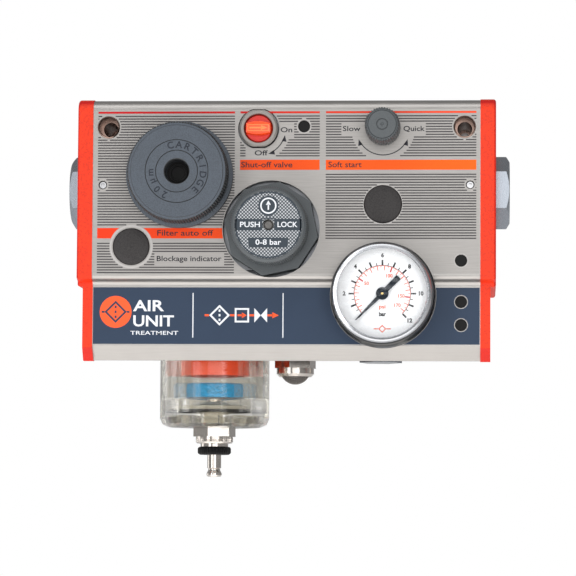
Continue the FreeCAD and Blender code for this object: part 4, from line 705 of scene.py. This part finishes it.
def tick(pressure, inner, outer, wide):
    """A stroke on the dial that points at its centre."""
    a = math.radians(dial_angle(pressure))
    across = (-math.sin(a) * wide / 2, math.cos(a) * wide / 2)
    ends = []
    for radius, sign in ((inner, 1), (outer, 1), (outer, -1), (inner, -1)):
        ends.append((GAUGE_X + radius * math.cos(a) - sign * across[0],
                     GAUGE_Z + radius * math.sin(a) - sign * across[1]))
    return ends


def dial_spot(pressure, radius):
    """The place of a pressure at a distance from the dial's centre."""
    a = math.radians(dial_angle(pressure))
    return GAUGE_X + radius * math.cos(a), GAUGE_Z + radius * math.sin(a)


def dial_line(inner, outer):
    """The bent line that carries a scale from its start to its end."""
    return arc(GAUGE_X, GAUGE_Z, inner, outer, dial_angle(BAR_FULL), dial_angle(0), 90)


bar_scale = [dial_line(14.0, 14.2)]
for half in range(25):
    outer, wide = (BAR_LONG, 0.85) if half % 2 == 0 else (BAR_SHORT, 0.4)
    bar_scale.append(tick(half / 2, BAR_FOOT, outer, wide))
printed("bar_scale", bar_scale, *ON_DIAL, "black_ink")
bar_numbers = [(str(bar), *dial_spot(bar, BAR_NUMBERS), 2.0, 0, 0) for bar in range(2, 13, 2)]
bar_numbers.append(("bar", GAUGE_X, GAUGE_Z - 10.2, 2.1, 3.6, 0))
lettering("bar_numbers", bar_numbers, *ON_DIAL, "black_ink", weight=0.13)

psi_scale = [dial_line(13.65, 13.9)]
for five in range(1, 35):
    if 5 * five not in PSI_FIFTIES:
        inner, wide = (PSI_LONG, 0.42) if five % 2 == 0 else (PSI_SHORT, 0.28)
        psi_scale.append(tick(five * 5 / PSI_PER_BAR, inner, PSI_FOOT, wide))
printed("psi_scale", psi_scale, *ON_DIAL, "dial_orange")
fifties = [tick(psi / PSI_PER_BAR, PSI_FIFTY, PSI_FOOT, 0.75) for psi in PSI_FIFTIES]
printed("psi_fifties", fifties, *ON_DIAL, "dial_red")
psi_numbers = [(str(psi), *dial_spot(psi / PSI_PER_BAR, PSI_NUMBERS), 1.8, 0, 0)
               for psi in (*PSI_FIFTIES, 170)]
psi_numbers.append(("psi", GAUGE_X, GAUGE_Z - 6.5, 2.0, 3.2, 0))
lettering("psi_numbers", psi_numbers, *ON_DIAL, "dial_orange", weight=0.07)

MARK_Z, MARK_HALF = GAUGE_Z - 17.4, 2.0
dial_sign = diamond(GAUGE_X, MARK_Z, MARK_HALF, 0.5)
for left, right in ((-4.2, -MARK_HALF), (MARK_HALF, 4.2)):
    dial_sign.append(rectangle(GAUGE_X + left, GAUGE_X + right, MARK_Z - 0.25, MARK_Z + 0.25))
printed("dial_sign", dial_sign, *ON_DIAL, "dial_orange")


# ------------------------------------------------------------------ cartridge cap

CAP_AXIS = (CAP_X, CAP_Z)
CAP_BASE, CAP_RAD, CAP_NECK, CAP_EYE = LABEL + 0.1, 25, 21.4, 6.2
CAP_FLANGE = CAP_BASE + 3.6
CAP_BACK = CAP_FRONT - 13.5
EYE_FLOOR = CAP_FRONT - 11
SEAL_FRONT, SEAL_BACK, NECK_END = 66.4, 63.9, 62
NECK_BORE = CAP_NECK - 3.4
LETTER_RAD, LETTER_TALL = 13.0, 3.5

cap_profile = [(0, EYE_FLOOR), (CAP_EYE, EYE_FLOOR), (CAP_EYE, CAP_FRONT - 0.3), (CAP_EYE + 0.3, CAP_FRONT)]
cap_profile += with_grooves((CAP_EYE + 0.3, CAP_RAD - 2.2), (10.4, 15.6), CAP_FRONT, 0.35)
cap_profile += [(CAP_RAD - 2.0, CAP_FRONT - 0.35), (CAP_RAD - 0.9, CAP_FRONT - 0.6),
                (CAP_RAD, CAP_FRONT - 1.6), (CAP_RAD, CAP_FLANGE), (CAP_RAD + 1.7, CAP_FLANGE - 0.6),
                (CAP_RAD + 1.7, CAP_BASE), (CAP_NECK, CAP_BASE), (CAP_NECK, SEAL_FRONT),
                (CAP_NECK - 2, SEAL_FRONT), (CAP_NECK - 2, SEAL_BACK), (CAP_NECK, SEAL_BACK),
                (CAP_NECK, NECK_END), (NECK_BORE, NECK_END), (NECK_BORE, CAP_BACK), (0, CAP_BACK)]
cap = lathe("cap_knurled", cap_profile, CAP_AXIS, "cartridge_cap", "slate_plastic",
            teeth=(112, 0.7, CAP_RAD, CAP_RAD + 0.1))
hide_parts("cartridge_cap")
cap_letters = round_line("CARTRIDGE", CAP_X, CAP_Z, LETTER_RAD, LETTER_TALL, 29.5, 18.6)
cap_letters += round_line("20µm", CAP_X, CAP_Z, LETTER_RAD, LETTER_TALL, 213, 20)
lettering("cap_letters", cap_letters, CAP_FRONT, 0.06, "cartridge_cap", "slate_plastic", "cap_letter", 0.07)
eye_profile = [(0, EYE_FLOOR + 0.6), (3.4, EYE_FLOOR + 0.6), (3.6, EYE_FLOOR + 1.4), (4.4, EYE_FLOOR + 1.4),
               (4.6, EYE_FLOOR + 0.6), (5.9, EYE_FLOOR + 0.6), (5.9, EYE_FLOOR), (0, EYE_FLOOR)]
lathe("cap_eye_floor", eye_profile, CAP_AXIS, "cartridge_cap", "slate_plastic", "black_plastic",
      segments=64)


# ------------------------------------------------------------------ regulator knob

KNOB_RAD, KNOB_BACK, TOWER = 19.0, 78.0, 16.4
HUB_RAD, HUB_BACK, WEB = 7, 88.6, 93
KNOB_BORE, KNOB_EYE, BORE_END = 4.2, 2.7, REG_FRONT - 2.2
DISC_RAD, DISC_SEAT = 16.8, REG_FRONT - 0.5
knob_profile = [(KNOB_BORE, HUB_BACK), (HUB_RAD, HUB_BACK), (HUB_RAD, WEB), (TOWER, WEB),
                (TOWER, KNOB_BACK), (KNOB_RAD - 0.9, KNOB_BACK), (KNOB_RAD - 0.2, KNOB_BACK + 0.5),
                (KNOB_RAD - 0.2, KNOB_BACK + 2.4), (KNOB_RAD, KNOB_BACK + 2.6),
                (KNOB_RAD, REG_FRONT - 1.7), (KNOB_RAD - 0.5, REG_FRONT - 0.9),
                (KNOB_RAD - 1.6, REG_FRONT), (DISC_RAD, REG_FRONT), (DISC_RAD, DISC_SEAT),
                (KNOB_EYE, DISC_SEAT), (KNOB_EYE, BORE_END), (KNOB_BORE, BORE_END)]
knob = lathe("regulator_knob_knurled", knob_profile, (REG_X, REG_Z), "adjusting_knob", "charcoal_plastic",
             teeth=(110, 0.5, KNOB_RAD, KNOB_RAD))
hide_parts("regulator_knob")

# Plain dark fields interrupt the disc's dots, and carry the words and the arrow.
FILM, FILM_PRINT = spot("knob_disc")[2], 0.03
ON_FILM = (FILM + FILM_PRINT, FILM_PRINT, "adjusting_knob", "knob_print", "pale_ink")
FIELD_LOW, FIELD_HIGH = REG_Z - 2.8, REG_Z + 2.9
fields = [rectangle(REG_X - 16.2, REG_X - 3.0, FIELD_LOW, FIELD_HIGH),
          rectangle(REG_X + 3.0, REG_X + 16.2, FIELD_LOW, FIELD_HIGH),
          rectangle(REG_X - 3.0, REG_X + 3.0, FIELD_HIGH, FIELD_HIGH + 0.5),
          [(REG_X - 9.4, REG_Z - 11.2), (REG_X + 9.4, REG_Z - 11.2), (REG_X + 9.9, REG_Z - 6.4),
           (REG_X - 9.9, REG_Z - 6.4)],
          circle(REG_X, REG_Z + 9.3, 5.0, 48)]
fields += ring(REG_X, REG_Z, 15.7, 16.5)
printed("knob_plain_fields", fields, FILM, FILM_PRINT, "adjusting_knob", "knob_print", "knob_film")
knob_words = [("PUSH", REG_X - 9.0, REG_Z, 2.7, 9.8, 0), ("LOCK", REG_X + 9.3, REG_Z, 2.7, 9.8, 0),
              ("0-8 bar", REG_X, REG_Z - 8.7, 2.7, 12.6, 0)]
lettering("knob_words", knob_words, *ON_FILM, weight=0.05)
knob_sign = ring(REG_X, REG_Z + 9.4, 3.3, 4.0)
knob_sign += [rectangle(REG_X - 0.35, REG_X + 0.35, REG_Z + 7.4, REG_Z + 10.2),
              arrow_head(REG_X, REG_Z + 12.0, 90, 2.2, 2.4)]
printed("knob_sign", knob_sign, *ON_FILM)


# ------------------------------------------------------------------ soft start knob and shut-off knob

SOFT_RAD, SOFT_BACK = 8.75, 76.7
SOFT_FACE = SOFT_FRONT - 0.1
SPIGOT_RAD, STEM_RAD, SPIGOT_END, STEM_END = 1.95, 3.05, 52, 62
soft_profile = [(0, SPIGOT_END), (SPIGOT_RAD, SPIGOT_END), (SPIGOT_RAD, STEM_END), (STEM_RAD, STEM_END),
                (STEM_RAD, SOFT_BACK), (SOFT_RAD - 0.5, SOFT_BACK), (SOFT_RAD, SOFT_BACK + 0.5),
                (SOFT_RAD, SOFT_FACE - 1.5), (SOFT_RAD - 0.45, SOFT_FACE - 0.6),
                (SOFT_RAD - 1.3, SOFT_FACE), (7.2, SOFT_FACE), (7.0, SOFT_FACE - 0.35),
                (6.8, SOFT_FACE), (2.9, SOFT_FACE), (2.9, SOFT_FACE - 0.6), (2.4, SOFT_FACE - 0.6),
                (2.4, SOFT_FRONT), (0.8, SOFT_FRONT), (0.6, SOFT_FRONT - 0.4), (0, SOFT_FRONT - 0.4)]
soft_knob = lathe("soft_start_knob_toothed", soft_profile, (SOFT_X, SOFT_Z), "soft_start_knob",
                  "charcoal_plastic", teeth=(40, 0.5, SOFT_RAD - 0.5, SOFT_RAD))
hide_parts("soft_start_knob")

HANDLE_BASE = SHUT_FRONT - 3.6
SHAFT_RAD, SHAFT_END, SHUT_RAD, SHUT_BACK = 5.6, 61, 6.9, 64.4
shut_profile = [(0, SHAFT_END), (SHAFT_RAD, SHAFT_END), (SHAFT_RAD, SHUT_BACK), (SHUT_RAD, SHUT_BACK),
                (SHUT_RAD, HANDLE_BASE - 0.5), (SHUT_RAD - 0.5, HANDLE_BASE), (0, HANDLE_BASE)]
# The knob's base is its own orange plastic, drawn in the deeper red of painted shade.
disc = lathe("shut_off_disc", shut_profile, (SHUT_X, SHUT_Z), "shut_off_valve", "orange_plastic",
             "orange_in_shade", segments=72)
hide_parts("shut_off_knob")


BAR_STEPS = 20


def grip_bar(name, half, waist, end, base, top, body, slot):
    """A grip bar whose long sides bulge: half its length, half its width at the waist and at its ends."""
    shape = bmesh.new()
    loops = []
    for reach, shrink in ((base, 0.0), (top - 0.7, 0.15), (top - 0.2, 0.4), (top, 0.9)):
        outline = []
        for sign in (1, -1):
            for step in range(BAR_STEPS + 1):
                t = 1 - 2 * step / BAR_STEPS
                x = t * (half - shrink) * sign
                z = sign * (end + (waist - end) * (1 - t * t) - shrink)
                outline.append(shape.verts.new(((SHUT_X + x) * MM, -reach * MM, (SHUT_Z + z) * MM)))
        loops.append(outline)
    for low, high in zip(loops, loops[1:]):
        for index in range(len(low)):
            after = (index + 1) % len(low)
            shape.faces.new((low[index], low[after], high[after], high[index]))
    shape.faces.new(loops[-1])
    shape.faces.new(list(reversed(loops[0])))
    return finished(name, shape, body, slot, smooth=True)


# The slot's rim and the arrow on the grip bar are painted highlight: paler orange over the knob's own
# plastic.
ON_BAR = (SHUT_FRONT, 0.06, "shut_off_valve", "orange_plastic", "orange_highlight")
grip_bar("shut_off_bar", 6.3, 3.6, 2.5, HANDLE_BASE - 0.4, SHUT_FRONT, "shut_off_valve", "orange_plastic")
printed("shut_off_slot_rim_highlight", frame_of(SHUT_X - 5.3, SHUT_X + 5.3, SHUT_Z - 1.7, SHUT_Z + 1.7, 0.35),
        *ON_BAR)
shut_arrow = [rectangle(SHUT_X - 4.4, SHUT_X + 1.6, SHUT_Z - 0.4, SHUT_Z + 0.4),
              arrow_head(SHUT_X + 4.6, SHUT_Z, 0, 3.2, 2.4)]
printed("shut_off_arrow", shut_arrow, *ON_BAR)


# ------------------------------------------------------------------ drain and silencer

BOWL_X, BOWL_Y, _, _ = hanging("bowl")
_, _, RING_LOW, RING_HIGH = hanging("drain_ring")
BORE_RAD, RING_SIDE, RING_RAD = 3.6, 8.1, 8.45
ring_profile = [(BORE_RAD, RING_LOW), (7.25, RING_LOW), (RING_SIDE, RING_LOW + 0.5),
                (RING_RAD, RING_LOW + 1.0), (RING_RAD, RING_HIGH - 0.9), (RING_SIDE, RING_HIGH - 0.3),
                (7.6, RING_HIGH), (BORE_RAD, RING_HIGH)]
drain_ring = lathe("drain_ring_knurled", ring_profile, (BOWL_X, BOWL_Y), "drain_ring", "black_plastic",
                   upright=True, teeth=(36, 0.5, RING_SIDE, RING_RAD))
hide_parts("drain_ring")

# Two knurled rims below the bowl, with a narrow groove between them.
COLLAR_IN, COLLAR_OUT = 9.0, 9.45
collar_profile = [(COLLAR_IN, -105.2), (COLLAR_OUT, -104.9), (COLLAR_OUT, -104.3), (COLLAR_IN, -104.25),
                  (COLLAR_IN, -104.15), (COLLAR_OUT, -104.1), (COLLAR_OUT, -102.6), (COLLAR_IN, -102.3)]
lathe("drain_collar_knurl", collar_profile, (BOWL_X, BOWL_Y), "bowl", "nickel", upright=True,
      teeth=(72, 0.25, COLLAR_OUT, COLLAR_OUT))

PIN_X, PIN_Y, PIN_RAD, PIN_HEAD = BOWL_X + 21.5, BOWL_Y - 3, 0.55, 1.1
PIN_LOW, PIN_TOP = -82.6, -60.0
pin_profile = [(0, PIN_LOW), (PIN_RAD, PIN_LOW), (PIN_RAD, PIN_TOP - 2.4), (PIN_HEAD, PIN_TOP - 2.2),
               (PIN_HEAD, PIN_TOP - 0.6), (0.6, PIN_TOP), (0, PIN_TOP)]
lathe("bowl_pin", pin_profile, (PIN_X, PIN_Y), "unit", "dark_nickel", upright=True, segments=20)

VENT_X, VENT_Y, DOME_LOW, DOME_HIGH = hanging("silencer_mesh")
DOME_RAD, DOME_RISE = 7.2, DOME_HIGH - DOME_LOW
DOME_BULGE = (DOME_RAD ** 2 + DOME_RISE ** 2) / (2 * DOME_RISE)
WIRE_HALF, WIRE_PITCH = 0.075, 0.9
WIRE_SINK, WIRE_WAVE = 0.04, 0.05


def dome_z(across, deep):
    """Height of the dome's skin at a place beside its axis."""
    away = math.hypot(across, deep)
    return DOME_LOW + DOME_BULGE - math.sqrt(DOME_BULGE ** 2 - away ** 2)


def wire_strands(name, along_x):
    """One direction of the woven gauze: thin square wires that ride over and under the other way's."""
    shape = bmesh.new()
    count = int(DOME_RAD / WIRE_PITCH)
    for index in range(-count, count + 1):
        offset = index * WIRE_PITCH
        half = math.sqrt(max(DOME_RAD ** 2 - offset ** 2, 0))
        steps = max(int(2 * half / WIRE_PITCH * 2), 2)
        before = None
        for step in range(steps + 1):
            travel = -half + 2 * half * step / steps
            wave = math.sin(math.pi * (travel / WIRE_PITCH + index + (0 if along_x else 1)))
            z = dome_z(travel, offset) - WIRE_SINK - WIRE_WAVE * wave
            loop = []
            for u, v in rectangle(-WIRE_HALF, WIRE_HALF, -WIRE_HALF, WIRE_HALF):
                across, deep = (travel, offset + u) if along_x else (offset + u, travel)
                loop.append(shape.verts.new(((VENT_X + across) * MM, (VENT_Y + deep) * MM, (z + v) * MM)))
            if before:
                for corner in range(4):
                    after = (corner + 1) % 4
                    shape.faces.new((before[corner], before[after], loop[after], loop[corner]))
            else:
                shape.faces.new(loop)
            before = loop
        shape.faces.new(list(reversed(before)))
    return finished(name, shape, "unit", "wire_mesh")


wire_strands("silencer_wires_across", True)
wire_strands("silencer_wires_deep", False)


# ------------------------------------------------------------------ stage, light and camera

def staged(name, corners, look):
    """One flat sheet that isn't part of the object."""
    mesh = bpy.data.meshes.new(name)
    mesh.from_pydata(corners, [], [(0, 1, 2, 3)])
    mesh.materials.append(look.made)
    thing = bpy.data.objects.new(name, mesh)
    bpy.context.scene.collection.objects.link(thing)


def lamp(name, place, aim, wide, high, power, colour):
    """A rectangular area lamp at a place, turned towards aim. The camera doesn't see it."""
    data = bpy.data.lights.new(name, "AREA")
    data.shape = "RECTANGLE"
    data.size, data.size_y = wide, high
    data.energy = power
    data.color = colour
    thing = bpy.data.objects.new(name, data)
    thing.visible_camera = False
    thing.location = place
    thing.rotation_euler = (Vector(aim) - Vector(place)).to_track_quat("-Z", "Y").to_euler()
    bpy.context.scene.collection.objects.link(thing)


FLOOR_Z, FLOOR_HALF = -0.5, 6
paper = plain_look("paper", srgb(250, 250, 250), 0.7, 0.9, 6, 0.99, 0.0, 0.01,
                   Emission_Color=(1, 1, 1, 1), Emission_Strength=0.3)
staged("floor", [(x, y, FLOOR_Z) for x, y in rectangle(-FLOOR_HALF, FLOOR_HALF, -FLOOR_HALF, FLOOR_HALF)],
       paper)

# The sky looks white to the camera, and lights the object more softly.
AMBIENT, SKY = 0.38, 1.0
world = bpy.data.worlds.new("studio")
world.use_nodes = True
background = world.node_tree.nodes["Background"]
background.inputs["Color"].default_value = (1, 1, 1, 1)
ray = world.node_tree.nodes.new("ShaderNodeLightPath")
level = world.node_tree.nodes.new("ShaderNodeMapRange")
level.inputs["To Min"].default_value = AMBIENT
level.inputs["To Max"].default_value = SKY
world.node_tree.links.new(ray.outputs["Is Camera Ray"], level.inputs["Value"])
world.node_tree.links.new(level.outputs[0], background.inputs["Strength"])
bpy.context.scene.world = world

# Name, place, width, height, watts and colour of each lamp. All of them point at the middle of the object.
WHITE, WARM = (1, 1, 1), (1, 0.96, 0.92)
MIDDLE = (0, -0.05, -0.02)
LAMPS = [("front", (0.25, -2.6, 0.3), 1.5, 1.3, 12, WHITE),
         ("key", (-0.9, -1.3, 1.1), 0.6, 0.6, 3, WHITE),
         ("top", (0.0, -0.75, 1.0), 1.6, 0.6, 6, WHITE),
         ("left_strip", (-0.62, -0.9, -0.1), 0.28, 1.0, 3.2, WHITE),
         ("right_strip", (0.4, -1.0, -0.1), 0.2, 1.0, 2.0, WHITE),
         ("side_strip", (-1.1, 0.35, -0.1), 0.5, 1.0, 2.5, WHITE),
         ("under", (0.0, -0.25, -0.42), 1.3, 0.5, 2.6, WARM)]
for name, place, wide, high, power, colour in LAMPS:
    lamp(name, place, MIDDLE, wide, high, power, colour)

AIM = Vector((0.0014, -0.076, -0.0295))
AZIMUTH, ELEVATION, ROLL = math.radians(3.6), math.radians(-4.5), math.radians(0.35)
DISTANCE = 1.526
LENS, SENSOR = 192, 36
camera_data = bpy.data.cameras.new("camera")
camera_data.lens = LENS
camera_data.sensor_width = SENSOR
camera = bpy.data.objects.new("camera", camera_data)
camera.location = AIM + DISTANCE * Vector((math.sin(AZIMUTH) * math.cos(ELEVATION),
                                           -math.cos(AZIMUTH) * math.cos(ELEVATION), math.sin(ELEVATION)))
aimed = (AIM - camera.location).to_track_quat("-Z", "Y").to_matrix() @ Matrix.Rotation(ROLL, 3, "Z")
camera.rotation_euler = aimed.to_euler()
bpy.context.scene.collection.objects.link(camera)
bpy.context.scene.camera = camera
bpy.context.scene.view_settings.view_transform = "Standard"
